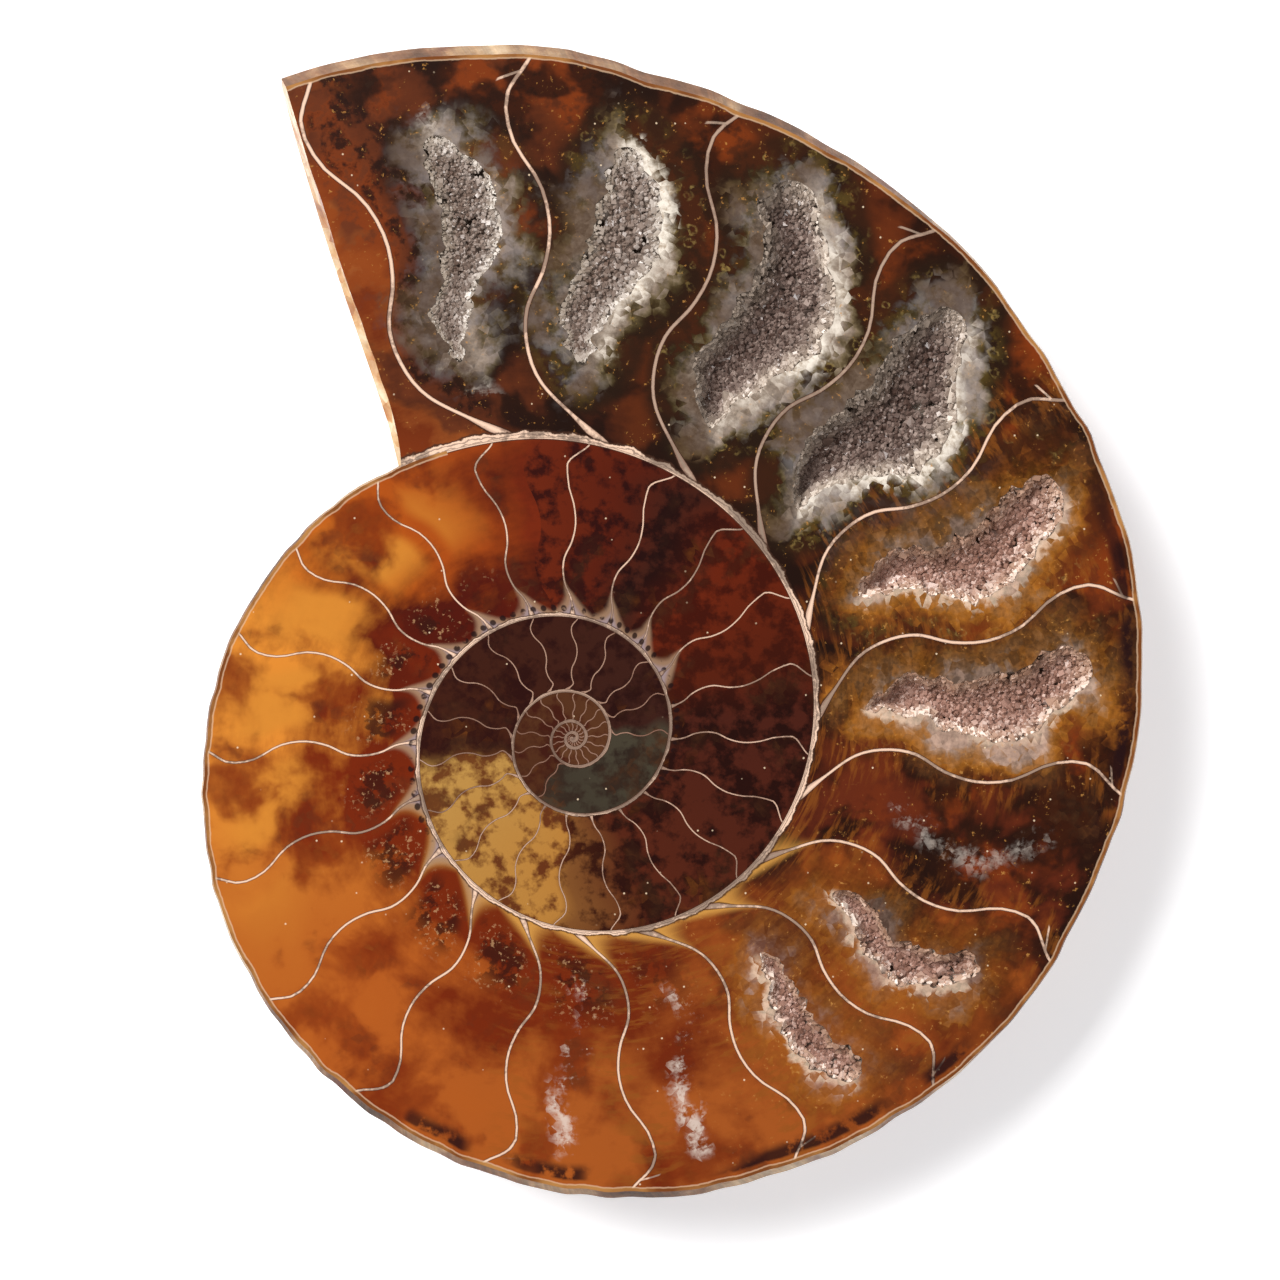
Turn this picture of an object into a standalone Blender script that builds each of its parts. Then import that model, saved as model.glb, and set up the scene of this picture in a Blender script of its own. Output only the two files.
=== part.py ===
"""Half of an ammonite: a fossil shell sawn through its coil, with the sawn face polished.

Run with blender --background --python part.py, or from the text editor.
The polished face is level and looks up (+Z). The rounded natural side rests on z = 0.
The origin is under the middle of the outline, at the height of the surface it rests on.
Lengths are in metres, and +Y is the long way of the outline.

The coil grows anticlockwise, seen from above. A place along it is given in turns: 0 is the
broken end of the last whorl, and -1 is one turn earlier, further in.
"""

import math
import random
from collections import namedtuple

import bmesh
import bpy
from mathutils import Matrix, Vector

MM = 0.001

# Driving dimensions
END_RADIUS = 62.6 * MM
THICKNESS = 14.5 * MM
END_ANGLE = math.radians(113.8)

# How the coil grows: radius = END_RADIUS * exp(GROWTH * turns + SLACKENING * turns ** 2)
GROWTH = 0.7948
SLACKENING = -0.0328
INNERMOST_TURN = -3
STEPS_PER_TURN = 96

# The whorl's section on the natural side, as shares of the whorl's outer radius
UMBILICUS = 0.20
CREST = 0.40
VENTER_DEPTH = 0.021
FLANK_WIDTH_POWER = 0.80
FLANK_DEPTH_POWER = 0.72
UMBILICAL_WALL_POWER = 2.4

# The stretch of the coil, back from its end, whose crest is level and carries the part
LEVEL_CREST_TURNS = 0.62

# Stations of the section, counted from the foot of the umbilical wall to the polished face
WALL_STATIONS = 3
SHOULDER_STATIONS = 2
FLANK_STATIONS = 8
SEAM_STATION = WALL_STATIONS + SHOULDER_STATIONS
VENTER_STATION = SEAM_STATION + FLANK_STATIONS
FACE_STATION = VENTER_STATION + 1

# How far the shell stands out past the polished face: everywhere, near the top, near the foot
OVERHANG = 0.2 * MM
TOP_OVERHANG = 0.8 * MM
FOOT_OVERHANG = 0.4 * MM

# Low ribs that cross the flank and fade towards the umbilicus and the inner whorls
RIBS_PER_TURN = 24
RIB_HEIGHT = 0.22 * MM
RIB_BEND = 0.12
RIB_FADE_RADIUS = (0.45, 0.75)
RIB_FADE_TURNS = (-2.0, -0.8)

# The broken end. Its lean and its heel carry its foot further round the coil than its tip.
BREAK_LEAN = math.radians(6.0)
BREAK_HEEL = math.radians(2.6)
BREAK_HEEL_POWER = 8
BREAK_FLARE = 1.2 * MM
BREAK_BLEND_TURNS = 0.16
BREAK_ROWS = 4
BREAK_ROUGHNESS = 0.5 * MM

# The chamber walls, called septa: where each one bulges forward, in degrees from the end
SEPTUM_ANGLES = (0.7, -17.1, -36.2, -56.5, -76.7, -96.4, -115.9, -134.6, -153.9, -172.7)
SEPTUM_SWAY = 2.1
SEPTUM_SWEEP = -9.4
SEPTUM_SWEEP_HEIGHT = 0.33

# Gap between touching pieces
GAP = 0.3 * MM

# The open hollows in the chamber filling. Each row is (share of the whorl's height, left share
# of the chamber's width, right share of it), from the hollow's inner end to its outer end.
Hollow = namedtuple("Hollow", "chamber depth rows")
HOLLOWS = (
    Hollow(0, 1.8 * MM, ((0.28, 0.48, 0.66), (0.45, 0.40, 0.68), (0.62, 0.30, 0.68), (0.84, 0.24, 0.56))),
    Hollow(1, 2.0 * MM, ((0.27, 0.50, 0.72), (0.45, 0.42, 0.80), (0.62, 0.34, 0.78), (0.84, 0.26, 0.58))),
    Hollow(2, 3.6 * MM, ((0.22, 0.36, 0.62), (0.36, 0.27, 0.75), (0.60, 0.20, 0.76), (0.90, 0.32, 0.74))),
    Hollow(3, 3.6 * MM, ((0.21, 0.38, 0.62), (0.36, 0.29, 0.72), (0.62, 0.22, 0.82), (0.90, 0.30, 0.76))),
    Hollow(4, 3.4 * MM, ((0.26, 0.36, 0.58), (0.42, 0.36, 0.70), (0.62, 0.28, 0.70), (0.90, 0.27, 0.74))),
    Hollow(5, 3.2 * MM, ((0.22, 0.36, 0.58), (0.40, 0.31, 0.66), (0.62, 0.30, 0.74), (0.90, 0.24, 0.78))),
    Hollow(7, 2.8 * MM, ((0.36, 0.36, 0.58), (0.50, 0.40, 0.68), (0.68, 0.34, 0.64), (0.87, 0.36, 0.72))),
    Hollow(8, 1.8 * MM, ((0.34, 0.42, 0.62), (0.50, 0.42, 0.68), (0.66, 0.40, 0.72), (0.86, 0.28, 0.66))),
)
HOLLOW_SIDE_POINTS = 9
HOLLOW_END_WIDTH = 0.3
HOLLOW_END_POWER = 4
NARROWEST_SHARE = 0.02
CUTTER_RISE = 1.0 * MM

# A hollow's levels below the face: (share of its depth, share of its outline)
HOLLOW_LEVELS = ((0.45, 0.94), (0.85, 0.78), (1.0, 0.55))

# The crust of crystals in a hollow, as shares of the hollow's outline and depth
CRUST_ROWS = 11
CRUST_COLUMNS = 5
CRUST_TOP_OUTLINE = 0.68
CRUST_FLOOR_OUTLINE = 0.50
CRUST_THICKNESS = 0.30
CRUST_RIM_RISE = 0.18
CRYSTAL_HEIGHTS = (0.10, 0.32)
CRYSTAL_SCATTER = 0.22 * MM

SHELL_BROWN = (0.36, 0.17, 0.07, 1.0)
CALCITE_GREY = (0.55, 0.50, 0.46, 1.0)


def clear_scene():
    for obj in list(bpy.data.objects):
        bpy.data.objects.remove(obj, do_unlink=True)


def finish_material(name, colour, roughness):
    material = bpy.data.materials.new(name)
    material.use_nodes = True
    shader = material.node_tree.nodes["Principled BSDF"]
    shader.inputs["Base Color"].default_value = colour
    shader.inputs["Roughness"].default_value = roughness
    shader.inputs["Metallic"].default_value = 0.0
    return material


def object_from(bm, name, material=None):
    bmesh.ops.recalc_face_normals(bm, faces=bm.faces)
    mesh = bpy.data.meshes.new(name)
    bm.to_mesh(mesh)
    bm.free()
    if material:
        mesh.materials.append(material)
    obj = bpy.data.objects.new(name, mesh)
    bpy.context.scene.collection.objects.link(obj)
    return obj


def smoothstep(low, high, value):
    share = min(1.0, max(0.0, (value - low) / (high - low)))
    return share * share * (3.0 - 2.0 * share)


def place(radius, angle, depth):
    """A point from its polar place about the coil's pole and its depth below the face."""
    return Vector((radius * math.cos(angle), radius * math.sin(angle), THICKNESS - depth))


def whorl_radius(turns):
    """Outer radius of the whorl at a place along the coil."""
    return END_RADIUS * math.exp(GROWTH * turns + SLACKENING * turns * turns)


def crest_depth(turns):
    """Half thickness of the whorl. The last part of the coil rests on its level crest."""
    return THICKNESS * min(1.0, whorl_radius(turns) / whorl_radius(-LEVEL_CREST_TURNS))


def venter_overhang(turns):
    """How far the outer edge of the shell stands out past the polished face."""
    near_top = smoothstep(-0.20, -0.08, turns)
    near_foot = smoothstep(-0.75, -0.62, turns) - smoothstep(-0.50, -0.40, turns)
    return OVERHANG + TOP_OVERHANG * near_top + FOOT_OVERHANG * near_foot


def seam_angle(turns):
    """Flank angle of this whorl at which the next whorl's umbilical seam lies on it."""
    crest = CREST * whorl_radius(turns)
    seam = UMBILICUS * whorl_radius(turns + 1.0)
    share = (seam - crest) / (whorl_radius(turns) - crest)
    return math.acos(share ** (1.0 / FLANK_WIDTH_POWER))


def flank_depth(turns, angle):
    """Depth of the flank, where angle 0 is its outer edge and a right angle is its crest."""
    rise = crest_depth(turns) - VENTER_DEPTH * whorl_radius(turns)
    return crest_depth(turns) - rise * (1.0 - math.sin(angle) ** FLANK_DEPTH_POWER)


def rib_height(turns, radius):
    """Height of the ribs, which bend forward towards the outer edge."""
    share = radius / whorl_radius(turns)
    fade = smoothstep(*RIB_FADE_RADIUS, share) * smoothstep(*RIB_FADE_TURNS, turns)
    phase = math.tau * RIBS_PER_TURN * (turns - RIB_BEND * share * share)
    return RIB_HEIGHT * fade * math.sin(phase)


def section_point(turns, station):
    """(radius, depth below the polished face) of one station of the whorl's section."""
    outer = whorl_radius(turns)
    seam_radius = UMBILICUS * outer
    crest_radius = CREST * outer
    if station == FACE_STATION:
        return outer - venter_overhang(turns), 0.0
    if station <= WALL_STATIONS:
        share = station / WALL_STATIONS
        foot = flank_depth(turns - 1.0, seam_angle(turns - 1.0))
        climb = (1.0 - (1.0 - share) ** UMBILICAL_WALL_POWER) ** (1.0 / UMBILICAL_WALL_POWER)
        radius = seam_radius + (crest_radius - seam_radius) * share
        return radius, foot + (crest_depth(turns) - foot) * climb
    if station <= SEAM_STATION:
        share = (station - WALL_STATIONS) / SHOULDER_STATIONS
        angle = math.pi / 2.0 + (seam_angle(turns) - math.pi / 2.0) * share
    else:
        share = (station - SEAM_STATION) / FLANK_STATIONS
        angle = seam_angle(turns) * (1.0 - share)
    radius = crest_radius + (outer - crest_radius) * math.cos(angle) ** FLANK_WIDTH_POWER
    depth = flank_depth(turns, angle)
    if station < VENTER_STATION:
        depth += rib_height(turns, radius)
    return radius, depth


def break_turn(turns, radius, depth):
    """Extra angle of the last rings, which lean to meet the broken end."""
    outer = whorl_radius(0.0)
    inner = whorl_radius(-1.0)
    share = min(1.0, max(0.0, math.log(outer / radius) / math.log(outer / inner)))
    flare = BREAK_FLARE * (depth / THICKNESS) / max(radius, inner)
    lean = BREAK_LEAN * share + BREAK_HEEL * share**BREAK_HEEL_POWER + flare
    return lean * smoothstep(-BREAK_BLEND_TURNS, 0.0, turns)


def heel_turn(turns, station):
    """Extra angle of the rings one turn before the end, which makes room for the heel."""
    if station <= SEAM_STATION:
        return 0.0
    share = (station - SEAM_STATION) / (FACE_STATION - SEAM_STATION)
    fade = 1.0 - smoothstep(-1.0, BREAK_BLEND_TURNS - 1.0, turns)
    return (BREAK_LEAN + BREAK_HEEL) * share * fade


class Rings:
    """The vertices of the rings along the coil, each made when it is first asked for.

    The foot of a whorl's umbilical wall is the seam station of the whorl that it lies on.
    """

    def __init__(self, bm):
        self.bm = bm
        self.first_step = INNERMOST_TURN * STEPS_PER_TURN
        self.vertices = {}

    def vertex(self, step, station):
        if station == 0 and step - STEPS_PER_TURN >= self.first_step:
            return self.vertex(step - STEPS_PER_TURN, SEAM_STATION)
        if (step, station) not in self.vertices:
            turns = step / STEPS_PER_TURN
            heel = heel_turn(turns, station)
            radius, depth = section_point(turns + heel / math.tau, station)
            angle = END_ANGLE + math.tau * turns + heel + break_turn(turns, radius, depth)
            self.vertices[step, station] = self.bm.verts.new(place(radius, angle, depth))
        return self.vertices[step, station]


def natural_side(bm, rings):
    """The back of the half: each whorl lies on the one before it, down into the umbilicus."""
    for step in range(rings.first_step, 0):
        top = FACE_STATION if step >= -STEPS_PER_TURN else SEAM_STATION
        for station in range(top):
            corners = [
                rings.vertex(step, station),
                rings.vertex(step, station + 1),
                rings.vertex(step + 1, station + 1),
                rings.vertex(step + 1, station),
            ]
            bm.faces.new(corners)


def innermost_whorl(bm, rings):
    """The first tiny whorl is closed by a fan round one point at the pole."""
    first = rings.first_step
    loop = [rings.vertex(first, station) for station in range(SEAM_STATION, 0, -1)]
    loop += [rings.vertex(step, 0) for step in range(first, first + STEPS_PER_TURN)]
    depth = sum(THICKNESS - v.co.z for v in loop) / len(loop)
    apex = bm.verts.new(place(0.0, 0.0, depth))
    for here, after in zip(loop, loop[1:] + loop[:1]):
        bm.faces.new((apex, here, after))


def broken_end(bm, rings):
    """The rough end of the last whorl, from its own section to the whorl it rides on.

    Returns the vertices of its upper edge, from the tip inwards.
    """
    rng = random.Random(11)
    previous = None
    upper_edge = []
    for row in range(BREAK_ROWS + 1):
        points = []
        for station in range(FACE_STATION + 1):
            outer = rings.vertex(0, station)
            inner = rings.vertex(-STEPS_PER_TURN, max(station, SEAM_STATION))
            if outer == inner or row == 0:
                points.append(outer)
            elif row == BREAK_ROWS:
                points.append(inner)
            else:
                spot = outer.co.lerp(inner.co, row / BREAK_ROWS)
                rough = rng.uniform(-BREAK_ROUGHNESS, BREAK_ROUGHNESS)
                spot.x += rough
                if station < FACE_STATION:
                    spot.z += rough / 2.0
                points.append(bm.verts.new(spot))
        if previous:
            skin_strip(bm, previous, points)
        previous = points
        upper_edge.append(points[-1])
    return upper_edge


def skin_strip(bm, row, next_row):
    """Faces between two rows of vertices, which may share vertices at their ends."""
    for corners in zip(row, row[1:], next_row[1:], next_row):
        different = list(dict.fromkeys(corners))
        if len(different) > 2:
            bm.faces.new(different)


def skin_tube(bm, loop, next_loop):
    """Faces between two closed loops of vertices."""
    skin_strip(bm, loop + loop[:1], next_loop + next_loop[:1])


def septum_sway(height_share):
    """Degrees by which a septum bends forward at a share of the whorl's height."""
    if height_share < SEPTUM_SWEEP_HEIGHT:
        rest = 1.0 - height_share / SEPTUM_SWEEP_HEIGHT
        return SEPTUM_SWAY + (SEPTUM_SWEEP - SEPTUM_SWAY) * rest**2.2
    return SEPTUM_SWAY * math.cos(4.0 * math.pi * (height_share - SEPTUM_SWEEP_HEIGHT))


def chamber_point(chamber, height_share, width_share, depth):
    """A point in a chamber, from its shares of the whorl's height and of the way across."""
    older = SEPTUM_ANGLES[chamber + 1]
    younger = SEPTUM_ANGLES[chamber]
    degrees = older + (younger - older) * width_share + septum_sway(height_share) - SEPTUM_SWAY
    turns = degrees / 360.0
    inner = whorl_radius(turns - 1.0)
    radius = inner * (whorl_radius(turns) / inner) ** height_share
    return place(radius, END_ANGLE + math.radians(degrees), depth)


def hollow_sides(rows, height_share):
    """The left and right shares of a hollow at a share of the whorl's height."""
    for low, high in zip(rows, rows[1:]):
        if height_share <= high[0]:
            break
    blend = smoothstep(low[0], high[0], height_share)
    left = low[1] + (high[1] - low[1]) * blend
    right = low[2] + (high[2] - low[2]) * blend
    return left, right


def hollow_point(hollow, row_share, column_share, depth, outline, inset=0.0):
    """A point of a hollow. row_share runs from its inner end outwards, column_share across it.

    outline draws a whole level inwards, and inset moves its sides in by a length.
    """
    row_share = 0.5 + (row_share - 0.5) * outline
    low = hollow.rows[0][0]
    high = hollow.rows[-1][0]
    height_share = low + (high - low) * row_share
    left, right = hollow_sides(hollow.rows, height_share)
    rounding = max(HOLLOW_END_WIDTH, 1.0 - abs(2.0 * row_share - 1.0) ** HOLLOW_END_POWER)
    younger = SEPTUM_ANGLES[hollow.chamber]
    older = SEPTUM_ANGLES[hollow.chamber + 1]
    middle_radius = (whorl_radius(younger / 360.0) + whorl_radius(younger / 360.0 - 1.0)) / 2.0
    chamber_width = middle_radius * math.radians(younger - older)
    half_width = (right - left) / 2.0 * rounding * outline - inset / chamber_width
    half_width = max(half_width, NARROWEST_SHARE)
    across = (left + right) / 2.0 + half_width * (2.0 * column_share - 1.0)
    return chamber_point(hollow.chamber, height_share, across, depth)


def hollow_cutter():
    """One mesh with the shapes of all the hollows, from above the face down to their floors."""
    bm = bmesh.new()
    shares = [k / (HOLLOW_SIDE_POINTS - 1) for k in range(HOLLOW_SIDE_POINTS)]
    for hollow in HOLLOWS:
        levels = [(-CUTTER_RISE, 1.0)]
        levels += [(share * hollow.depth, outline) for share, outline in HOLLOW_LEVELS]
        sides = []
        for depth, outline in levels:
            left = [bm.verts.new(hollow_point(hollow, s, 0.0, depth, outline)) for s in shares]
            right = [bm.verts.new(hollow_point(hollow, s, 1.0, depth, outline)) for s in shares]
            sides.append((left, right))
        loops = [left + right[::-1] for left, right in sides]
        for loop, next_loop in zip(loops, loops[1:]):
            skin_tube(bm, loop, next_loop)
        skin_strip(bm, *sides[0])
        skin_strip(bm, *sides[-1])
    cutter = object_from(bm, "hollow_cutter")
    cutter.hide_render = True
    cutter.display_type = "WIRE"
    return cutter


def ammonite_half(material):
    """Shell, septa and chamber filling, grown together into one stone, with its hollows."""
    bm = bmesh.new()
    rings = Rings(bm)
    natural_side(bm, rings)
    innermost_whorl(bm, rings)
    upper_edge = broken_end(bm, rings)
    face = [rings.vertex(step, FACE_STATION) for step in range(-STEPS_PER_TURN, 0)]
    bm.faces.new(face + upper_edge[:-1])
    half = object_from(bm, "ammonite_half", material)
    half.data.shade_smooth()
    half.data.set_sharp_from_angle(angle=math.radians(35.0))
    cut = half.modifiers.new("hollows", "BOOLEAN")
    cut.operation = "DIFFERENCE"
    cut.solver = "EXACT"
    cut.object = hollow_cutter()
    return half


def crust_level(bm, hollow, depth_at, outline, inset):
    """A grid of vertices across a hollow. depth_at gives the depth from the nearness to the rim."""
    grid = []
    for row in range(CRUST_ROWS):
        row_share = row / (CRUST_ROWS - 1)
        line = []
        for column in range(CRUST_COLUMNS + 1):
            column_share = column / CRUST_COLUMNS
            nearness = max(abs(2.0 * row_share - 1.0), abs(2.0 * column_share - 1.0))
            spot = hollow_point(hollow, row_share, column_share, depth_at(nearness), outline, inset)
            line.append(bm.verts.new(spot))
        grid.append(line)
    return grid


def crystal(bm, corners, height, rng):
    """A flat-sided point raised on the four corners of a cell."""
    tip = sum((v.co for v in corners), Vector()) / len(corners)
    tip.x += rng.uniform(-CRYSTAL_SCATTER, CRYSTAL_SCATTER)
    tip.y += rng.uniform(-CRYSTAL_SCATTER, CRYSTAL_SCATTER)
    tip.z += height
    point = bm.verts.new(tip)
    for here, after in zip(corners, corners[1:] + corners[:1]):
        bm.faces.new((point, here, after))


def grid_border(grid):
    """The vertices round the edge of a grid, in order."""
    right = [line[-1] for line in grid[1:-1]]
    left = [line[0] for line in grid[1:-1]]
    return grid[0] + right + grid[-1][::-1] + left[::-1]


def crystal_crust(name, hollow, material, seed):
    """The crystals that line one hollow: a thin crust with a flat-sided point on every cell."""
    rng = random.Random(seed)
    bm = bmesh.new()
    floor = hollow.depth - GAP
    surface = floor - CRUST_THICKNESS * hollow.depth
    rise = CRUST_RIM_RISE * hollow.depth

    def surface_depth(nearness):
        return surface - rise * nearness**4

    def floor_depth(nearness):
        return floor

    upper = crust_level(bm, hollow, surface_depth, CRUST_TOP_OUTLINE, 1.5 * GAP)
    lower = crust_level(bm, hollow, floor_depth, CRUST_FLOOR_OUTLINE, 2.0 * GAP)
    for row in range(CRUST_ROWS - 1):
        skin_strip(bm, lower[row], lower[row + 1])
        for column in range(CRUST_COLUMNS):
            corners = [
                upper[row][column],
                upper[row][column + 1],
                upper[row + 1][column + 1],
                upper[row + 1][column],
            ]
            crystal(bm, corners, rng.uniform(*CRYSTAL_HEIGHTS) * hollow.depth, rng)
    skin_tube(bm, grid_border(upper), grid_border(lower))
    return object_from(bm, name, material)


def middle_of_outline(obj):
    """How far to shift the object so that the middle of its outline is above the origin."""
    corners = [Vector(corner) for corner in obj.bound_box]
    middle = sum(corners, Vector()) / len(corners)
    return Vector((-middle.x, -middle.y, 0.0))


def main():
    clear_scene()
    stone = finish_material("polished_ammonite", SHELL_BROWN, 0.25)
    calcite = finish_material("calcite_crystals", CALCITE_GREY, 0.30)
    half = ammonite_half(stone)
    for number, hollow in enumerate(HOLLOWS, start=1):
        crystal_crust(f"crystal_crust_{number}", hollow, calcite, seed=40 + number)
    shift = Matrix.Translation(middle_of_outline(half))
    for obj in bpy.data.objects:
        obj.data.transform(shift)


main()
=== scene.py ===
"""Looks of a polished half of an ammonite, on a plain pale floor.

Run as a script in Blender 4.5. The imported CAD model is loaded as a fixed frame, in metres, +Z up.
The polished face looks up and the rounded natural side rests on the floor.

A place along the coil is given in turns: 0 is the broken end of the last whorl, and -1 is one turn
earlier, further in. A place across a whorl is its height share: 0 at its inner wall and 1 at its
outer wall. Septa are the walls between the chambers, counted 1, 2, 3 from the broken end inwards.
"""

import math

import bmesh
import bpy
import numpy as np
from bpy.props import FloatProperty, FloatVectorProperty, PointerProperty
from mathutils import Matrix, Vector


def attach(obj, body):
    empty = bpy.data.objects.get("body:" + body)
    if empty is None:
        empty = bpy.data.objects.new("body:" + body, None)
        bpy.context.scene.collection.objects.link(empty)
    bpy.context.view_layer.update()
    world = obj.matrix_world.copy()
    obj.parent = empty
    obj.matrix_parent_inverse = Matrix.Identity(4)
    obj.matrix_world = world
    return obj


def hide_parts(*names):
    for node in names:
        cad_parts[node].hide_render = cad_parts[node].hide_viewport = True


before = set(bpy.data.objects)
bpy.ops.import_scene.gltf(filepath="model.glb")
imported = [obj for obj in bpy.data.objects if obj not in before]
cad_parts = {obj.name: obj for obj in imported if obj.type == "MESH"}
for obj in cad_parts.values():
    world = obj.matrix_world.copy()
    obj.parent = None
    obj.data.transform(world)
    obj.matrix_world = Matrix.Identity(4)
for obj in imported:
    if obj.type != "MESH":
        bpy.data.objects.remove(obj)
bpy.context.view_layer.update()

bl_info = {
    "name": "Polished ammonite half",
    "version": (1, 0, 0),
    "blender": (4, 5, 0),
    "location": "3D View > Sidebar > Ammonite",
    "description": "Models a sawn and polished ammonite with crystals in its chambers",
    "category": "Object",
}

MM = 0.001

# The coil, as the CAD source has it
POLE = np.array((-8.427 * MM, -10.032 * MM, 0.0))
END_RADIUS = 62.6 * MM
THICKNESS = 14.5 * MM
END_ANGLE = math.radians(113.8)
GROWTH = 0.7948
SLACKENING = -0.0328
INNERMOST_TURN = -3
INNERMOST_FACE_TURN = -4.6

# The whorl's section on the natural side, as shares of the whorl's outer radius
UMBILICUS = 0.20
CREST = 0.40
VENTER_DEPTH = 0.021
FLANK_WIDTH_POWER = 0.80
FLANK_DEPTH_POWER = 0.72
UMBILICAL_WALL_POWER = 2.4
LEVEL_CREST_TURNS = 0.62

# Stations of the section: foot of the umbilical wall, its top, the seam, the venter, the face
WALL_TOP = 3.0
SEAM = 5.0
VENTER = 13.0
FACE = 14.0

# How far the shell stands out past the polished face: everywhere, near the top, near the foot
OVERHANG = 0.2 * MM
TOP_OVERHANG = 0.8 * MM
FOOT_OVERHANG = 0.4 * MM

RIBS_PER_TURN = 24
RIB_HEIGHT = 0.22 * MM
RIB_BEND = 0.12

# The broken end leans, so that its foot is further round the coil than its tip
BREAK_LEAN = math.radians(6.0)
BREAK_HEEL = math.radians(2.6)
BREAK_HEEL_POWER = 8
BREAK_FLARE = 1.2 * MM
BREAK_BLEND = 0.16
BREAK_ROUGHNESS = 0.5 * MM

# Mesh density, and the widest gap that welding closes
COLUMNS_PER_TURN = 440
FACE_ROWS = 30
WALL_ROWS = 4
SHOULDER_ROWS = 3
FLANK_ROWS = 14
EDGE_ROWS = 4
MERGE_DISTANCE = 2e-6
SMOOTH_ANGLE = math.radians(35.0)

# Swellings and dents of the outline: (turns, millimetres)
OUTLINE_SWELLS = np.array(
    (
        (-1.0, 0.0),
        (-0.45, 0.0),
        (-0.316, 0.43),
        (-0.266, 0.43),
        (-0.2, -0.35),
        (-0.083, -0.35),
        (-0.066, 0.43),
        (-0.02, 0.3),
        (0.0, 0.0),
        (1.0, 0.0),
    )
)
CHIPS_PER_TURN = 130
CHIP_DEPTH = 0.14 * MM

# Where each septum stands, in degrees from the broken end. The first is the one that is lost.
SEPTUM_DEGREES = np.array(
    [17.0, -3.2, -21.2, -40.3, -60.4, -80.4, -100.6, -120.0, -138.7, -157.6, -176.1, -196.1]
    + [-215.4, -235.0, -254.4, -273.6, -293.1, -312.4, -329.5, -347.6, -366.2, -384.5, -402.5]
    + [-420.4, -438.5, -456.8, -475.3, -493.2, -511.8, -531.5, -551.5, -569.6, -588.7, -608.0]
    + [-627.7, -646.0, -664.7, -684.3, -704.7, -725.9, -746.5, -766.0, -788.8, -809.1, -832.0]
    + [-955.0, -978.0, -1002.0, -1022.0]
    + [-1044.0 - 21.0 * k for k in range(42)]
)

# How a septum sways on its way out: (height share, degrees, forward is positive)
SEPTUM_SWAY = np.array(
    (
        (0.0, -8.0),
        (0.08, -3.0),
        (0.19, 2.2),
        (0.33, 4.1),
        (0.42, 3.6),
        (0.54, 0.9),
        (0.64, 0.0),
        (0.73, 0.7),
        (0.83, 3.2),
        (0.92, 3.0),
        (0.97, 1.0),
        (1.0, 0.0),
    )
)

# How the sway changes along the coil: (turns, degrees)
SWEEP_AT_FOOT = np.array(((-1.75, 14.0), (-1.6, 1.0), (-0.7, 1.0), (-0.62, -4.0), (-0.53, -9.0)))
BULGE_NEAR_RIM = np.array(((-1.55, 3.3), (-1.48, 1.6), (-1.04, 1.6), (-0.96, 3.2)))
TURN_AT_RIM = np.array(
    ((-1.6, 0.0), (-1.48, -2.6), (-1.02, -2.6), (-0.96, 0.8), (-0.7, 0.8), (-0.65, -1.6))
    + ((-0.4, -0.5), (-0.3, 0.5))
)

# The open hollows of the filling: (chamber, depth in millimetres, rows). Each row is (height share,
# left share of the chamber's width, right share of it), from the hollow's inner end to its outer end.
HOLLOWS = (
    (0, 1.8, ((0.28, 0.48, 0.66), (0.45, 0.40, 0.68), (0.62, 0.30, 0.68), (0.84, 0.24, 0.56))),
    (1, 2.0, ((0.27, 0.50, 0.72), (0.45, 0.42, 0.80), (0.62, 0.34, 0.78), (0.84, 0.26, 0.58))),
    (2, 3.6, ((0.22, 0.36, 0.62), (0.36, 0.27, 0.75), (0.60, 0.20, 0.76), (0.90, 0.32, 0.74))),
    (3, 3.6, ((0.21, 0.38, 0.62), (0.36, 0.29, 0.72), (0.62, 0.22, 0.82), (0.90, 0.30, 0.76))),
    (4, 3.4, ((0.26, 0.36, 0.58), (0.42, 0.36, 0.70), (0.62, 0.28, 0.70), (0.90, 0.27, 0.74))),
    (5, 3.2, ((0.22, 0.36, 0.58), (0.40, 0.31, 0.66), (0.62, 0.30, 0.74), (0.90, 0.24, 0.78))),
    (7, 2.8, ((0.36, 0.36, 0.58), (0.50, 0.40, 0.68), (0.68, 0.34, 0.64), (0.87, 0.36, 0.72))),
    (8, 1.8, ((0.34, 0.42, 0.62), (0.50, 0.42, 0.68), (0.66, 0.40, 0.72), (0.86, 0.28, 0.66))),
)
HOLLOW_SIDE_POINTS = 66
HOLLOW_LEVELS = 10
HOLLOW_PROFILE = np.array(((0.0, 1.0), (0.45, 0.94), (0.85, 0.78), (1.0, 0.55)))
CUTTER_RISE = 0.6 * MM

# The hollows' ragged sides: steps of random teeth along a hollow, and how far the teeth stand out,
# as shares of the chamber's width
HOLLOW_TEETH = 60.0
LARGE_TEETH = 0.030
SMALL_TEETH = 0.022

# How many random values a wandering line has before it repeats
RANDOM_VALUES = 4096


def linear(hex_colour):
    """An sRGB hex colour as linear red, green, blue and alpha."""
    parts = [int(hex_colour[place : place + 2], 16) / 255.0 for place in (1, 3, 5)]
    return [p / 12.92 if p <= 0.04045 else ((p + 0.055) / 1.055) ** 2.4 for p in parts] + [1.0]


def smoothstep(low, high, value):
    share = np.clip((value - low) / (high - low), 0.0, 1.0)
    return share * share * (3.0 - 2.0 * share)


def table_value(table, place):
    return np.interp(place, table[:, 0], table[:, 1])


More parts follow.
